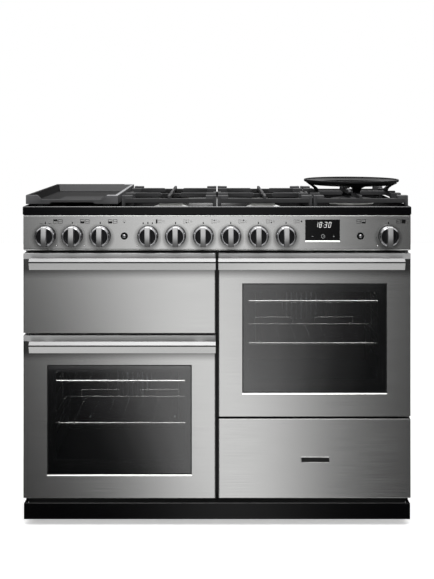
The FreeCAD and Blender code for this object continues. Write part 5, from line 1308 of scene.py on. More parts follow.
# %% Warning lamps
NEON_LEVEL = 793.5 * MM
NEON_PLACES = (-455 * MM, -376 * MM, -226 * MM, 455 * MM)
NEON_RADIUS = 2.3 * MM
NEON_LINE = 0.9 * MM
NEON_LENS = 1.2 * MM
neon_rings = [print_ring(x, NEON_LEVEL, NEON_RADIUS, NEON_LINE) for x in NEON_PLACES]
neon_lenses = [print_ring(x, NEON_LEVEL, NEON_LENS, 0) for x in NEON_PLACES]
finish_piece(join_as("neon_rings", neon_rings), panel_ink, "cooker", "brushed_stainless")
finish_piece(join_as("neon_lenses", neon_lenses), lit_sign, "cooker", "black_display_glass")

# %% [markdown]
# ## Oven windows
# Each window is two panes with an oven's dark behind them. Two panes have four surfaces, which
# together mirror about three times as much as one. The front face of the outer pane stands for all
# four with a higher IOR than plain soda-lime glass, and for the tint; the others are left clear.

# %% Window glass
GLASS_IOR = 2.1
GLASS_ALPHA = 0.66
CLEAR_ALPHA = 0.04
GLASS_ROUGHNESS = 0.05
GLASS_WEAR = 0.02
PANE_FACE = -282.8 * MM
window_glass = new_material("coated_float_glass", "#08090A", roughness=GLASS_ROUGHNESS, ior=GLASS_IOR,
                            alpha=GLASS_ALPHA)
clear_glass = new_material("clear_float_glass", "#1A1C1C", roughness=GLASS_ROUGHNESS, alpha=CLEAR_ALPHA)
add_wear(window_glass, GLASS_ROUGHNESS, spread=GLASS_WEAR)
add_wear(clear_glass, GLASS_ROUGHNESS, spread=GLASS_WEAR)
for side in ("left_door", "right_door"):
    panes = copy_node(side + "_panes", side + "_glass")
    lay_materials(panes, window_glass, clear_glass)
    paint_faces(panes, clear_glass, lambda place, normal: place.y > PANE_FACE + MM / 2
                or normal.y > -HALF)
    finish_piece(panes, window_glass, side, "window_glass", side + "_glass")

# %% [markdown]
# A band of black ceramic ink is fired onto the edge of each pane to hide the glue. It is a little
# duller than the glass, and that makes the window's frame readable.

# %% Window borders and ledges
BORDER_WIDTH = 3.2 * MM
BORDER_FACE = -283.1 * MM
CERAMIC_ROUGHNESS = 0.3
WINDOWS = {
    "left": (Vector((-481.4 * MM, 0, 145 * MM)), Vector((-71.4 * MM, 0, 456 * MM))),
    "right": (Vector((71.4 * MM, 0, 376 * MM)), Vector((481.4 * MM, 0, 687 * MM))),
}
border_print = worn_material("black_ceramic_print", "#0A0A0B", CERAMIC_ROUGHNESS)
for side, (low, high) in WINDOWS.items():
    body = side + "_door"
    border = print_frame(low.x, high.x, low.z, high.z, BORDER_WIDTH)
    border.name = side + "_window_border"
    border.location = (0, BORDER_FACE - PRINT_FACE, 0)
    settle(border)
    finish_piece(border, border_print, body, "window_glass")
    add_ledge(side + "_window_ledge", low.x, high.x, low.z, body)

# %% [markdown]
# ## Plate on the drawer
# A small black enamelled plate in a thin steel frame is fixed to the drawer's front. It is bare.
# It starts as a block whose upright corners are bevelled, and an inset of its front parts the
# enamel from the frame.

# %% Plate
PLATE_LOW = Vector((236.5 * MM, -285.4 * MM, 179.5 * MM))
PLATE_HIGH = Vector((319 * MM, -284 * MM, 195.5 * MM))
PLATE_ROUND = 0.5 * MM
PLATE_CORNER = 2 * MM
PLATE_FRAME = 1.3 * MM
PLATE_GLOSS = 0.4
plate = add_block("drawer_plate", PLATE_LOW, PLATE_HIGH)
edit_edges(plate, lambda start, end: abs(start.y - end.y) > MM)
bpy.ops.mesh.bevel(offset=PLATE_CORNER, segments=BEVEL_STEPS)
leave_edit()
round_edges(plate, PLATE_ROUND)
edit_faces(plate, lambda place, normal: normal.y < -1 + MM and place.y < PLATE_LOW.y + MM / 2)
bpy.ops.mesh.inset(thickness=PLATE_FRAME)
leave_edit()
plate_enamel = worn_material("black_plate_enamel", "#0B0B0B", PLATE_GLOSS)
lay_materials(plate, handle_steel, plate_enamel)
for face in plate.data.polygons:
    face.material_index = int(face.select)
finish_piece(plate, handle_steel, "drawer", "brushed_stainless")

# %% [markdown]
# ## Black enamel
# The hob and the plinth are steel with a fired coat of black glass on it. The eye gets near black
# with a sharp, weak mirror over it and a very slight waviness, which is where the soft bands in it
# come from. The waves of real enamel are 10 to 30 mm long and only hundredths of a millimetre high.
# The same helper also makes the flecked enamel of the ovens and the dotted glass of the hotplate.

# %% Gloss enamel
ENAMEL_WAVE_PER_METRE = 45
ENAMEL_WAVE_HEIGHT = 0.03 * MM
ENAMEL_SPECULAR = 0.14
ENAMEL_TONE_LOW = 0.8
FLECK_EDGE = 0.24
FLECK_CORE = 0.1


def enamelled(name, hex_colour, roughness, fleck=None, fleck_scale=0):
    """Fired enamel: smooth, faintly wavy, with an optional fine fleck."""
    material = new_material(name, hex_colour, roughness=roughness, specular_ior_level=ENAMEL_SPECULAR)
    tree = material.node_tree
    shader = shader_of(material)
    place = add_node(tree, "ShaderNodeTexCoord", {})
    wave = add_node(tree, "ShaderNodeTexNoise", {
        "Vector": (place, "Object"),
        "Scale": ENAMEL_WAVE_PER_METRE,
    })
    bump = add_node(tree, "ShaderNodeBump", {"Height": (wave, "Fac"), "Distance": ENAMEL_WAVE_HEIGHT})
    if fleck:
        spots = add_node(tree, "ShaderNodeTexVoronoi", {"Vector": (place, "Object"), "Scale": fleck_scale})
        mask = add_node(tree, "ShaderNodeMapRange", {
            "Value": (spots, "Distance"),
            "From Min": FLECK_EDGE,
            "From Max": FLECK_CORE,
        })
        mixed = add_node(tree, "ShaderNodeMix", {
            FACTOR: (mask, 0),
            COLOUR_A: linear(hex_colour),
            COLOUR_B: linear(fleck),
        }, data_type="RGBA")
    else:
        tone = add_node(tree, "ShaderNodeMapRange", {"Value": (wave, "Fac"), "To Min": ENAMEL_TONE_LOW})
        mixed = add_node(tree, "ShaderNodeMix", {
            FACTOR: FULL,
            COLOUR_A: linear(hex_colour),
            COLOUR_B: (tone, 0),
        }, data_type="RGBA", blend_type="MULTIPLY")
    tree.links.new(mixed.outputs[MIXED], shader.inputs["Base Color"])
    tree.links.new(bump.outputs[0], shader.inputs["Normal"])
    return material


print("enamel wave", 1 / ENAMEL_WAVE_PER_METRE / MM, "mm")

# %% [markdown]
# Where the coat runs over a rounded upper edge it mirrors the light overhead as a bright line. The faces
# that lean to the front and up take a lighter copy of the enamel with a stronger mirror, a painted
# highlight that strengthens the line.

# %% Hob and plinth
HOB_GLOSS = 0.15
HOB_ROUND = 2.0 * MM
PLINTH_ROUND = 2.4 * MM
EDGE_GLOSS = 0.25
EDGE_IOR = 2.2
EDGE_TILT_LEAST = 0.25
hob_enamel = enamelled("gloss_black_enamel", "#050506", HOB_GLOSS)
# A lighter, more strongly mirroring enamel for the upper front edges, a painted highlight
highlight_edge_enamel = worn_material("enamel_edge_painted_highlight", "#161617", EDGE_GLOSS, ior=EDGE_IOR)
for node, width in (("hob_top", HOB_ROUND), ("plinth", PLINTH_ROUND)):
    coated = copy_node(node + "_enamelled", node)
    round_edges(coated, width)
    lay_materials(coated, hob_enamel, highlight_edge_enamel)
    paint_faces(coated, highlight_edge_enamel, lambda place, normal: normal.y < -EDGE_TILT_LEAST
                and normal.z > EDGE_TILT_LEAST)
    finish_piece(coated, hob_enamel, "cooker", "black_hob_enamel", node)

# %% [markdown]
# ## Cast iron
# Pan supports, griddle and wok cradle are cast iron with a coat of matt enamel. The skin of a sand
# casting is grainy, about half a millimetre, drawn here near 2 mm so that it shows. The edges have
# lost some coat and shine a little more.

# %% Matt enamelled cast iron
CASTING_PER_METRE = 480
CASTING_HEIGHT = 0.12 * MM
CASTING_DETAIL = 3.0
IRON_ROUGHNESS = 0.5
IRON_ROUGHNESS_SPREAD = 0.1
IRON_TONE_LOW = 0.7
EDGE_WEAR_START = 0.5
EDGE_WEAR_END = 0.62


def cast_surface(name, hex_colour, worn_colour, **values):
    """Grainy cast iron under matt enamel, lighter where the edges are worn."""
    material = new_material(name, hex_colour, roughness=IRON_ROUGHNESS, **values)
    tree = material.node_tree
    shader = shader_of(material)
    place = add_node(tree, "ShaderNodeTexCoord", {})
    grain = add_node(tree, "ShaderNodeTexNoise", {
        "Vector": (place, "Object"),
        "Scale": CASTING_PER_METRE,
        "Detail": CASTING_DETAIL,
    })
    tone = add_node(tree, "ShaderNodeMapRange", {"Value": (grain, "Fac"), "To Min": IRON_TONE_LOW})
    shape = add_node(tree, "ShaderNodeNewGeometry", {})
    worn = add_node(tree, "ShaderNodeMapRange", {
        "Value": (shape, "Pointiness"),
        "From Min": EDGE_WEAR_START,
        "From Max": EDGE_WEAR_END,
    })
    coat = add_node(tree, "ShaderNodeMix", {
        FACTOR: (worn, 0),
        COLOUR_A: linear(hex_colour),
        COLOUR_B: linear(worn_colour),
    }, data_type="RGBA")
    shaded = add_node(tree, "ShaderNodeMix", {
        FACTOR: FULL,
        COLOUR_A: (coat, MIXED),
        COLOUR_B: (tone, 0),
    }, data_type="RGBA", blend_type="MULTIPLY")
    rough = add_node(tree, "ShaderNodeMapRange", {
        "Value": (grain, "Fac"),
        "To Min": IRON_ROUGHNESS - IRON_ROUGHNESS_SPREAD,
        "To Max": IRON_ROUGHNESS + IRON_ROUGHNESS_SPREAD,
    })
    bump = add_node(tree, "ShaderNodeBump", {"Height": (grain, "Fac"), "Distance": CASTING_HEIGHT})
    tree.links.new(shaded.outputs[MIXED], shader.inputs["Base Color"])
    tree.links.new(rough.outputs[0], shader.inputs["Roughness"])
    tree.links.new(bump.outputs[0], shader.inputs["Normal"])
    return material


cast_iron = cast_surface("matt_enamelled_cast_iron", "#1E1E1F", "#5A5A5C")
print("casting grain", 1 / CASTING_PER_METRE / MM, "mm")

# %% [markdown]
# The bars of a pan support thicken into blocks at its corners and where the fingers leave the
# sides. Each block is a rounded box, drawn in by a hair from the bars' faces so that no two faces
# lie in one plane.

# %% Pan supports
SUPPORT_ROUND = 1.8 * MM
BLOCK_SIZE = Vector((30 * MM, 24 * MM, 0))
BLOCK_LOW = 913.8 * MM
BLOCK_INSET = Vector((0.4 * MM, 0.4 * MM, 0.4 * MM))
FRONT_ROW = -156.7 * MM
REAR_ROW = 50.7 * MM


def support_blocks(low, high):
    """Thick blocks at the corners of a support and where its fingers leave the sides."""
    rows = [low.y, high.y - BLOCK_SIZE.y]
    rows.extend(row - BLOCK_SIZE.y / 2 for row in (FRONT_ROW, REAR_ROW))
    blocks = []
    for y in rows:
        for x in (low.x, high.x - BLOCK_SIZE.x):
            far_corner = (x + BLOCK_SIZE.x, y + BLOCK_SIZE.y, high.z)
            block = add_block("support_block", (x, y, BLOCK_LOW), far_corner)
            round_edges(block, SUPPORT_ROUND)
            blocks.append(block)
    return blocks


for node in ("pan_support_1", "pan_support_2", "pan_support_3"):
    bars = copy_node(node + "_frame", node)
    round_edges(bars, SUPPORT_ROUND)
    low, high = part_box(node)
    support = join_as(node + "_cast", [bars, *support_blocks(low + BLOCK_INSET, high - BLOCK_INSET)])
    finish_piece(support, cast_iron, node, "cast_iron_black", node)

# %% [markdown]
# ## Griddle
# The griddle is a cast tray, deep enough to hold splashes. It starts as a block whose top is inset
# and pushed down, a little smaller at the floor, as a casting has to leave its mould. Cuts across
# it make the places where the front wall drops to a lower lip, and where its underside is hollowed
# so that a cloth can lift it.

# %% Griddle tray
GRIDDLE_LOW = Vector((-545 * MM, -269 * MM, 910 * MM))
GRIDDLE_HIGH = Vector((-282 * MM, 241 * MM, 936 * MM))
GRIDDLE_RIM = 9 * MM
GRIDDLE_DEPTH = 23.5 * MM
GRIDDLE_DRAFT = 0.97
LIP_CUTS = (-512 * MM, -500 * MM, -330 * MM, -314 * MM)
HOLLOW_CUTS = (-478 * MM, -472 * MM, -354 * MM, -348 * MM)
griddle = add_block("griddle_cast", GRIDDLE_LOW, GRIDDLE_HIGH)
griddle_centre = (GRIDDLE_LOW + GRIDDLE_HIGH) / 2
edit_faces(griddle, lambda place, normal: normal.z > HALF)
bpy.ops.mesh.inset(thickness=GRIDDLE_RIM)
push_face(Vector((0, 0, -1)), ((GRIDDLE_DEPTH, GRIDDLE_DRAFT),), griddle_centre)
leave_edit()
for x in LIP_CUTS + HOLLOW_CUTS:
    edit_all(griddle)
    bpy.ops.mesh.bisect(plane_co=(x, 0, 0), plane_no=(1, 0, 0))
    leave_edit()
print("griddle faces", len(griddle.data.polygons))

# %% Griddle lip and hollow
LIP_DROP = 12 * MM
HOLLOW_RISE = 4.5 * MM
GRIDDLE_FRONT = GRIDDLE_LOW.y + GRIDDLE_RIM + MM


def between(start, end, cuts):
    """True where an edge lies between the second and the third of four cuts."""
    return min(start.x, end.x) > cuts[1] - MM and max(start.x, end.x) < cuts[2] + MM


edit_edges(griddle, lambda start, end: max(start.y, end.y) < GRIDDLE_FRONT
           and min(start.z, end.z) > GRIDDLE_HIGH.z - MM and between(start, end, LIP_CUTS))
bpy.ops.transform.translate(value=(0, 0, -LIP_DROP))
leave_edit()
edit_edges(griddle, lambda start, end: max(start.y, end.y) < GRIDDLE_LOW.y + MM
           and max(start.z, end.z) < GRIDDLE_LOW.z + MM and between(start, end, HOLLOW_CUTS))
bpy.ops.transform.translate(value=(0, 0, HOLLOW_RISE))
leave_edit()
print("lip lowered by", LIP_DROP, "m")

# %% Griddle feet
FOOT_LOW = 893.3 * MM
FOOT_INSET = 28 * MM
FOOT_SIZE = 18 * MM
feet = [griddle]
for x in (GRIDDLE_LOW.x + FOOT_INSET, GRIDDLE_HIGH.x - FOOT_INSET - FOOT_SIZE):
    for y in (GRIDDLE_LOW.y + FOOT_INSET, GRIDDLE_HIGH.y - FOOT_INSET - FOOT_SIZE):
        far_corner = (x + FOOT_SIZE, y + FOOT_SIZE, GRIDDLE_LOW.z + MM)
        feet.append(add_block("griddle_foot", (x, y, FOOT_LOW), far_corner))
griddle = join_as("griddle_cast", feet)
round_edges(griddle, SUPPORT_ROUND)
print("griddle with feet", len(griddle.data.polygons))

# %% [markdown]
# The griddle wears four finishes. The outside is seasoned, a baked oil skin that shines a little. The
# floor, the left wall and the rim at the back and left are nearly black. The inner face of the back wall is
# lighter and mirrors more, and the right rim is pale grey as a painted highlight.

# %% Griddle finishes
NEAR_BLACK_SPECULAR = 0.22
WALL_IOR = 1.7
SEASONED_IOR = 1.45
WALL_REACH = 24 * MM
RIM_REACH = 12 * MM
RIM_SHARE = 8 * MM
RIM_TOP = 3 * MM
RIM_TILT = 0.2
griddle_iron = cast_surface("seasoned_cast_iron", "#0D0D0E", "#8A8A8C", ior=SEASONED_IOR)
near_black_iron = cast_surface("near_black_cast_iron", "#070708", "#1C1C1E", specular_ior_level=NEAR_BLACK_SPECULAR)
bright_wall_iron = cast_surface("lighter_cast_iron_back_wall", "#3A3A3C", "#6A6A6C", ior=WALL_IOR)
# The right rim's pale grey is a painted highlight
rim_highlight_iron = cast_surface("cast_iron_painted_rim_highlight", "#A2A2A4", "#C4C4C6")
inner_left = GRIDDLE_LOW.x + RIM_REACH
inner_right = GRIDDLE_HIGH.x - RIM_REACH
back = GRIDDLE_HIGH.y - WALL_REACH


def on_rim(place, normal):
    """True on the upper faces of the rim and its rounded edges."""
    return normal.z > RIM_TILT and place.z > GRIDDLE_HIGH.z - RIM_TOP


lay_materials(griddle, griddle_iron, near_black_iron, bright_wall_iron, rim_highlight_iron)
paint_faces(griddle, bright_wall_iron, lambda place, normal: normal.y < -UPWARD and place.y > back)
paint_faces(griddle, near_black_iron, lambda place, normal: normal.x > UPWARD
            and place.x < GRIDDLE_LOW.x + WALL_REACH)
paint_faces(griddle, near_black_iron, lambda place, normal: normal.z > UPWARD
            and place.z < GRIDDLE_HIGH.z - RIM_SHARE and inner_left < place.x < inner_right)
paint_faces(griddle, near_black_iron, lambda place, normal: on_rim(place, normal)
            and (place.y > back or place.x < inner_left))
paint_faces(griddle, rim_highlight_iron, lambda place, normal: on_rim(place, normal)
            and place.x > GRIDDLE_HIGH.x - WALL_REACH)
finish_piece(griddle, griddle_iron, "griddle", "cast_iron_black", "griddle")

# %% [markdown]
# ## Wok cradle
# The cradle is one casting: a conical ring that a round pan sits in, and four legs that flare
# into it like the bell of a trumpet. The ring starts as an open cone whose upper edge is pulled up
# to a band, and the whole shell then gets a wall.

# %% Wok ring
WOK_MIDDLE = Vector((410.25 * MM, -74.6 * MM, 0))
WOK_LOW = 954 * MM
WOK_HIGH = 964.5 * MM
WOK_FOOT_RADIUS = 119 * MM
WOK_RIM_RADIUS = 143.6 * MM
WOK_BAND = 6.4 * MM
WOK_WALL = 7 * MM
WOK_SIDES = 128
WOK_ROUND = 2.4 * MM
bpy.ops.object.select_all(action="DESELECT")
bpy.ops.mesh.primitive_cone_add(vertices=WOK_SIDES, radius1=WOK_FOOT_RADIUS, radius2=WOK_RIM_RADIUS,
                                depth=WOK_HIGH - WOK_LOW, end_fill_type="NOTHING",
                                location=(WOK_MIDDLE.x, WOK_MIDDLE.y, (WOK_LOW + WOK_HIGH) / 2))
wok_ring = bpy.context.object
settle(wok_ring)
edit_edges(wok_ring, lambda start, end: min(start.z, end.z) > WOK_HIGH - MM)
bpy.ops.mesh.extrude_region_move(TRANSFORM_OT_translate={"value": (0, 0, WOK_BAND)})
leave_edit()
wall = wok_ring.modifiers.new("ring_wall", "SOLIDIFY")
wall.thickness = WOK_WALL
wall.offset = -1
take(wok_ring)
bpy.ops.object.modifier_apply(modifier=wall.name)
round_edges(wok_ring, WOK_ROUND)
print("wok ring faces", len(wok_ring.data.polygons))

# %% [markdown]
# A leg starts as its foot, a small block whose top face is pushed up and outwards in steps while
# it widens along the ring. One leg is modelled at the origin, copied four times and turned.

# %% Wok legs
LEG_FOOT_LOW = 935.4 * MM
LEG_FOOT_HIGH = 940 * MM
LEG_INNER = 100 * MM
LEG_OUTER = 112 * MM
LEG_HALF_WIDTH = 11 * MM
# Each step goes up and outwards, and widens the leg along the ring
LEG_STEPS = (
    (5 * MM, 4 * MM, 1.06),
    (5 * MM, 6 * MM, 1.22),
    (4 * MM, 6 * MM, 1.42),
    (3.5 * MM, 4.5 * MM, 1.5),
    (2.8 * MM, 3 * MM, 1.2),
)
LEG_ROUND = 2.2 * MM
LEG_COUNT = 4
WOK_SPECULAR = 0.2


def make_wok_leg():
    """One leg that points along +X from the cradle's middle, which is at the world's origin."""
    leg = add_block("wok_leg_model", (LEG_INNER, -LEG_HALF_WIDTH, LEG_FOOT_LOW),
                    (LEG_OUTER, LEG_HALF_WIDTH, LEG_FOOT_HIGH))
    edit_faces(leg, lambda place, normal: normal.z > HALF)
    centre = Vector(((LEG_INNER + LEG_OUTER) / 2, 0, LEG_FOOT_HIGH))
    for up, out, widening in LEG_STEPS:
        bpy.ops.mesh.extrude_region_move(TRANSFORM_OT_translate={"value": (out, 0, up)})
        centre = centre + Vector((out, 0, up))
        bpy.ops.transform.resize(value=(1, widening, 1), center_override=centre)
    leave_edit()
    round_edges(leg, LEG_ROUND)
    return leg


leg_model = make_wok_leg()
wok_parts = [wok_ring]
for index in range(LEG_COUNT):
    wok_parts.append(copy_model(leg_model, "wok_leg", WOK_MIDDLE, (0, 0, QUARTER_TURN * index)))
bpy.data.objects.remove(leg_model)
wok_iron = cast_surface("satin_enamelled_cast_iron", "#070708", "#1C1C1E", specular_ior_level=WOK_SPECULAR)
wok_cradle = join_as("wok_cradle_cast", wok_parts)
finish_piece(wok_cradle, wok_iron, "wok_cradle", "cast_iron_black", "wok_cradle")

# %% [markdown]
# ## Burners
# A burner is a cast aluminium crown with a ring of flame slots and an enamelled cap. Aluminium
# from the mould is pale and scatters what it mirrors; the cap's enamel is duller than the hob's.
# CAD has the cup and the cap.

# %% Burner finishes
BURNER_ROUGHNESS = 0.42
CAP_ROUGHNESS = 0.38
burner_metal = worn_material("cast_aluminium", "#E2E2E0", BURNER_ROUGHNESS, metallic=FULL)
cap_enamel = enamelled("matt_black_cap_enamel", "#141415", CAP_ROUGHNESS)
paint_nodes(burner_metal, "burner_bodies")
paint_nodes(cap_enamel, "burner_caps")

# %% [markdown]
# The crown's teeth are added here: on a ring of many side faces, every other pair is pushed
# inwards, which leaves the slots between the teeth.

# %% Burner crowns
TOOTH_SIDES = 4
CROWN_LOW = 898.2 * MM
CROWN_HIGH = 905.6 * MM
CROWN_PROUD = 0.7 * MM
SLOT_DEPTH = 1.2 * MM
LEFT_CELL = -136.75 * MM
RIGHT_CELL = 136.75 * MM
# The middle, the radius and the number of teeth of each crown
CROWNS = {
    "front_left": (Vector((LEFT_CELL, FRONT_ROW, 0)), 34 * MM, 28),
    "rear_left": (Vector((LEFT_CELL, REAR_ROW, 0)), 46 * MM, 36),
    "front_middle": (Vector((RIGHT_CELL, FRONT_ROW, 0)), 34 * MM, 28),
    "rear_middle": (Vector((RIGHT_CELL, REAR_ROW, 0)), 24 * MM, 20),
    "wok": (WOK_MIDDLE, 62 * MM, 48),
}


def make_crown(name, place, radius, teeth):
    """A toothed ring round a burner's head, just under its cap."""
    sides = teeth * TOOTH_SIDES
    middle = Vector((place.x, place.y, (CROWN_LOW + CROWN_HIGH) / 2))
    crown = add_disc(name, middle, radius + CROWN_PROUD, CROWN_HIGH - CROWN_LOW, sides, (0, 0, 0))
    step = math.tau / sides

    def in_slot(face, normal):
        turned = math.atan2(face.y - place.y, face.x - place.x) / step
        return abs(normal.z) < HALF and math.floor(turned) % TOOTH_SIDES < TOOTH_SIDES / 2

    edit_faces(crown, in_slot)
    bpy.ops.mesh.extrude_region_shrink_fatten(TRANSFORM_OT_shrink_fatten={"value": -SLOT_DEPTH})
    leave_edit()
    smooth(crown)
    return crown


for name, (place, radius, teeth) in CROWNS.items():
    crown = make_crown(name + "_crown", place, radius, teeth)
    finish_piece(crown, burner_metal, "cooker", "burner_aluminium")

# %% [markdown]
# ## Inside the ovens
# Oven liners are dark enamel with a fine pale fleck that hides crumbs. The shelves are bright
# nickel-plated wire, and the heaters wear a nickel alloy sheath that has gone brown with heat.
# Flecks of 0.3 mm are drawn near 3 mm so that they show.

# %% Oven finishes
FLECKS_PER_METRE = 320
OVEN_GLOSS = 0.3
WIRE_ROUGHNESS = 0.2
oven_enamel = enamelled("flecked_oven_enamel", "#0E0E0F", OVEN_GLOSS, "#2A2B2D", FLECKS_PER_METRE)
shelf_plate = worn_material("bright_nickel_wire", "#DCDCDA", WIRE_ROUGHNESS, metallic=FULL)
paint_nodes(oven_enamel, "left_oven_liner", "right_oven_liner", "grill_liner", "grill_pan")
paint_nodes(shelf_plate, "wire_shelves")

# %% Drifting colours
DRIFT_DETAIL = 5.0
HEAT_TINT_PER_METRE = 30
SHEATH_ROUGHNESS = 0.45


def mottled(name, first, second, scale, roughness, **values):
    """A worn surface whose colour drifts between two tones."""
    material = worn_material(name, first, roughness, **values)
    tree = material.node_tree
    place = add_node(tree, "ShaderNodeTexCoord", {})
    drift = add_node(tree, "ShaderNodeTexNoise", {
        "Vector": (place, "Object"),
        "Scale": scale,
        "Detail": DRIFT_DETAIL,
    })
    mixed = add_node(tree, "ShaderNodeMix", {
        FACTOR: (drift, "Fac"),
        COLOUR_A: linear(first),
        COLOUR_B: linear(second),
    }, data_type="RGBA")
    tree.links.new(mixed.outputs[MIXED], shader_of(material).inputs["Base Color"])
    return material


heater_sheath = mottled("heated_nickel_alloy", "#6A5F55", "#4A4642", HEAT_TINT_PER_METRE, SHEATH_ROUGHNESS,
                        metallic=FULL)
paint_nodes(heater_sheath, "heating_elements")

# %% [markdown]
# The door seals are a rope braided from glass fibre. It gives the eye a dull grey with slanting
# strands, which a wave pattern draws a little coarser than they are.

# %% Braided seal
BRAID_PER_METRE = 130
BRAID_TWIST = 5.0
BRAID_HEIGHT = 0.6 * MM
BRAID_ROUGHNESS = 0.85
seal_rope = new_material("braided_glass_fibre", "#3A3A38", roughness=BRAID_ROUGHNESS)
tree = seal_rope.node_tree
place = add_node(tree, "ShaderNodeTexCoord", {})
strands = add_node(tree, "ShaderNodeTexWave", {
    "Vector": (place, "Object"),
    "Scale": BRAID_PER_METRE,
    "Distortion": BRAID_TWIST,
}, bands_direction="DIAGONAL")
tone = add_node(tree, "ShaderNodeMix", {
    FACTOR: (strands, "Fac"),
    COLOUR_A: linear("#252524"),
    COLOUR_B: linear("#55544F"),
}, data_type="RGBA")
bump = add_node(tree, "ShaderNodeBump", {"Height": (strands, "Fac"), "Distance": BRAID_HEIGHT})
tree.links.new(tone.outputs[MIXED], shader_of(seal_rope).inputs["Base Color"])
tree.links.new(bump.outputs[0], shader_of(seal_rope).inputs["Normal"])
paint_nodes(seal_rope, "door_seals")

# %% [markdown]
# ## Painted and plated steel
# The case, the frame and the backs of the doors are powder coated. Powder melts into a skin like
# orange peel, with bumps about 2 mm wide, so it is satin and never quite flat.

# %% Powder coats
PEEL_PER_METRE = 420
PEEL_HEIGHT = 0.08 * MM
PEEL_TONE_LOW = 0.86
CASE_ROUGHNESS = 0.5
FRAME_ROUGHNESS = 0.4


def powder_coat(name, hex_colour, roughness):
    """Satin paint with an orange-peel skin."""
    material = new_material(name, hex_colour, roughness=roughness)
    tree = material.node_tree
    shader = shader_of(material)
    place = add_node(tree, "ShaderNodeTexCoord", {})
    peel = add_node(tree, "ShaderNodeTexNoise", {"Vector": (place, "Object"), "Scale": PEEL_PER_METRE})
    tone = add_node(tree, "ShaderNodeMapRange", {"Value": (peel, "Fac"), "To Min": PEEL_TONE_LOW})
    mixed = add_node(tree, "ShaderNodeMix", {
        FACTOR: FULL,
        COLOUR_A: linear(hex_colour),
        COLOUR_B: (tone, 0),
    }, data_type="RGBA", blend_type="MULTIPLY")
    bump = add_node(tree, "ShaderNodeBump", {"Height": (peel, "Fac"), "Distance": PEEL_HEIGHT})
    tree.links.new(mixed.outputs[MIXED], shader.inputs["Base Color"])
    tree.links.new(bump.outputs[0], shader.inputs["Normal"])
    return material


case_coat = powder_coat("graphite_powder_coat", "#3B3C3E", CASE_ROUGHNESS)
frame_coat = powder_coat("black_powder_coat", "#161617", FRAME_ROUGHNESS)
paint_nodes(case_coat, "case_panels", "drawer_box")
paint_nodes(frame_coat, "base_frame", "front_frame")
paint_nodes(frame_coat, "left_door_liner", "right_door_liner", "grill_door_liner")

# %% [markdown]
# Between the doors and the plinth one looks into the dark under the cooker. A thin black sheet behind the
# plinth stands for that shade as a painted shadow.

# %% Painted shadow under the doors
SHADE_SHEET_LOW = Vector((-545 * MM, -225.6 * MM, 24 * MM))
SHADE_SHEET_HIGH = Vector((545 * MM, -224 * MM, 78 * MM))
SHADE_SHEET_FOLD = 0.5 * MM
# Painted shadow: a thin black sheet in the gap under the doors
shade_sheet = add_block("painted_shadow_sheet", SHADE_SHEET_LOW, SHADE_SHEET_HIGH)
round_edges(shade_sheet, SHADE_SHEET_FOLD)
finish_piece(shade_sheet, frame_coat, "cooker", "frame_paint")

# %% [markdown]
# Hidden steel is zinc plated, which shows as grey-blue crystals a few millimetres across, each a
# slightly different grey.

# %% Zinc plate
SPANGLES_PER_METRE = 150
ZINC_DARK = "#8E9298"
ZINC_LIGHT = "#B4B8BD"
ZINC_ROUGHNESS = 0.4
zinc_plate = worn_material("zinc_plated_steel", ZINC_DARK, ZINC_ROUGHNESS, metallic=FULL)
tree = zinc_plate.node_tree
place = add_node(tree, "ShaderNodeTexCoord", {})
crystals = add_node(tree, "ShaderNodeTexVoronoi", {
    "Vector": (place, "Object"),
    "Scale": SPANGLES_PER_METRE,
})
grey = add_node(tree, "ShaderNodeSeparateColor", {0: (crystals, "Color")})
mixed = add_node(tree, "ShaderNodeMix", {
    FACTOR: (grey, 0),
    COLOUR_A: linear(ZINC_DARK),
    COLOUR_B: linear(ZINC_LIGHT),
}, data_type="RGBA")
tree.links.new(mixed.outputs[MIXED], shader_of(zinc_plate).inputs["Base Color"])
paint_nodes(zinc_plate, "drawer_rail_middles", "left_fan", "right_fan", "left_foot", "right_foot")

# %% [markdown]
# ## Fittings
# What is left are bought-in parts: switch bodies moulded from phenolic, nylon rollers, an extruded
# aluminium gas rail and turned brass taps. The mouldings are dull with a faint mottle, the metals
# drift a little in tone. The hotplate under the griddle is dark glass with printed dots.

# %% Fitting finishes
MOULD_PER_METRE = 260
PIPE_DRIFT_PER_METRE = 40
DOTS_PER_METRE = 260
PHENOLIC_ROUGHNESS = 0.5
NYLON_ROUGHNESS = 0.6
ALUMINIUM_ROUGHNESS = 0.35
BRASS_ROUGHNESS = 0.3
HOTPLATE_GLOSS = 0.08
phenolic = mottled("moulded_phenolic", "#1A1A1B", "#242425", MOULD_PER_METRE, PHENOLIC_ROUGHNESS)
nylon = mottled("moulded_black_nylon", "#1E1E1E", "#2A2A2A", MOULD_PER_METRE, NYLON_ROUGHNESS)
rail_aluminium = mottled("drawn_aluminium", "#BDBEC0", "#A8A9AC", PIPE_DRIFT_PER_METRE, ALUMINIUM_ROUGHNESS,
                         metallic=FULL)
brass = mottled("turned_brass", "#C9A863", "#B08F4C", PIPE_DRIFT_PER_METRE, BRASS_ROUGHNESS, metallic=FULL)
hotplate_glass = enamelled("dotted_ceramic_glass", "#0B0B0C", HOTPLATE_GLOSS, "#2A2A2B", DOTS_PER_METRE)
tap_plugs = [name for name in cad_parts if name.startswith("tap_plug_")]
paint_nodes(phenolic, "electrical_fittings")
paint_nodes(nylon, "rear_rollers")
paint_nodes(rail_aluminium, "gas_pipework")
paint_nodes(brass, *tap_plugs)
paint_nodes(hotplate_glass, "ceramic_zone")

# %% [markdown]
# ## Screws
# Pan-head screws hold the fan covers and the backs of the doors. One is made from a disc whose top
# is domed in steps and then dished, and it is copied.

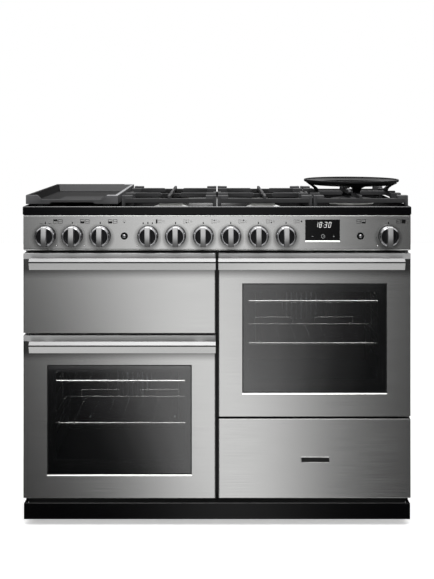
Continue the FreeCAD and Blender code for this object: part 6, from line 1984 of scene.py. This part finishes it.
# %% Screw model
SCREW_RADIUS = 3.6 * MM
SCREW_THICK = 0.8 * MM
SCREW_SIDES = 20
SCREW_DOME = ((0.7 * MM, 0.9), (0.5 * MM, 0.78), (0.3 * MM, 0.6))
DISH_INSET = 0.7 * MM
DISH_DEPTH = 0.5 * MM
SCREW_ROUGHNESS = 0.3
screw_steel = worn_material("zinc_plated_screw", "#A9ABAE", SCREW_ROUGHNESS, metallic=FULL)
screw_middle = Vector((0, SCREW_THICK / 2, 0))
screw_model = add_disc("screw_model", screw_middle, SCREW_RADIUS, SCREW_THICK, SCREW_SIDES)
edit_faces(screw_model, lambda place, normal: normal.y < -HALF)
push_face(FORWARDS, SCREW_DOME, Vector((0, 0, 0)))
bpy.ops.mesh.inset(thickness=DISH_INSET, depth=-DISH_DEPTH)
leave_edit()
smooth(screw_model)
print("screw faces", len(screw_model.data.polygons))

# %% Screws of fan covers and door backs
BAFFLE_FACE = 126 * MM
BAFFLE_SPREAD = Vector((138 * MM, 0, 118 * MM))
LINER_FACE = -248 * MM
LINER_INSET = 22 * MM
CORNERS = ((-1, -1), (1, -1), (-1, 1), (1, 1))


def add_screws(name, centre, spread, face, turn, body):
    """Four screws at the corners round a centre, on a face that looks along Y, as one piece."""
    heads = []
    for x, z in CORNERS:
        place = Vector((centre.x + spread.x * x, face, centre.z + spread.z * z))
        heads.append(copy_model(screw_model, name, place, (0, 0, turn)))
    finish_piece(join_as(name, heads), screw_steel, body, "zinc_steel")


for side in ("left", "right"):
    centre = middle_of(side + "_fan")
    add_screws(side + "_fan_cover_screws", centre, BAFFLE_SPREAD, BAFFLE_FACE - SCREW_THICK, 0, "cooker")
    low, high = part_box(side + "_door_liner")
    spread = (high - low) / 2 - Vector((LINER_INSET, 0, LINER_INSET))
    add_screws(side + "_door_back_screws", (low + high) / 2, spread, LINER_FACE + SCREW_THICK,
               QUARTER_TURN * 2, side + "_door")
bpy.data.objects.remove(screw_model)

# %% [markdown]
# ## Light in the ovens
# The oven lamps are off in the photograph, yet the shelves glint, because light from the room
# comes in through the glass. A soft lamp under the front of each roof stands for it, out of sight
# above the window.

# %% Oven lamps
OVEN_LIGHT_POWER = 1.2
OVEN_LIGHT_SIZE = 0.42
OVEN_LIGHT_REACH = 0.12
OVEN_LIGHT_DROP = 30 * MM
OVEN_LIGHT_DEPTH = -222 * MM
OVEN_LIGHT_AIM = -170 * MM
for side in ("left", "right"):
    low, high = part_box(side + "_oven_liner")
    place = Vector(((low.x + high.x) / 2, OVEN_LIGHT_DEPTH, high.z - OVEN_LIGHT_DROP))
    aim = Vector((place.x, OVEN_LIGHT_AIM, (low.z + high.z) / 2))
    add_lamp(side + "_oven_glow", place, aim, OVEN_LIGHT_POWER, OVEN_LIGHT_SIZE, OVEN_LIGHT_REACH)
print("oven lamps", OVEN_LIGHT_POWER, "each")
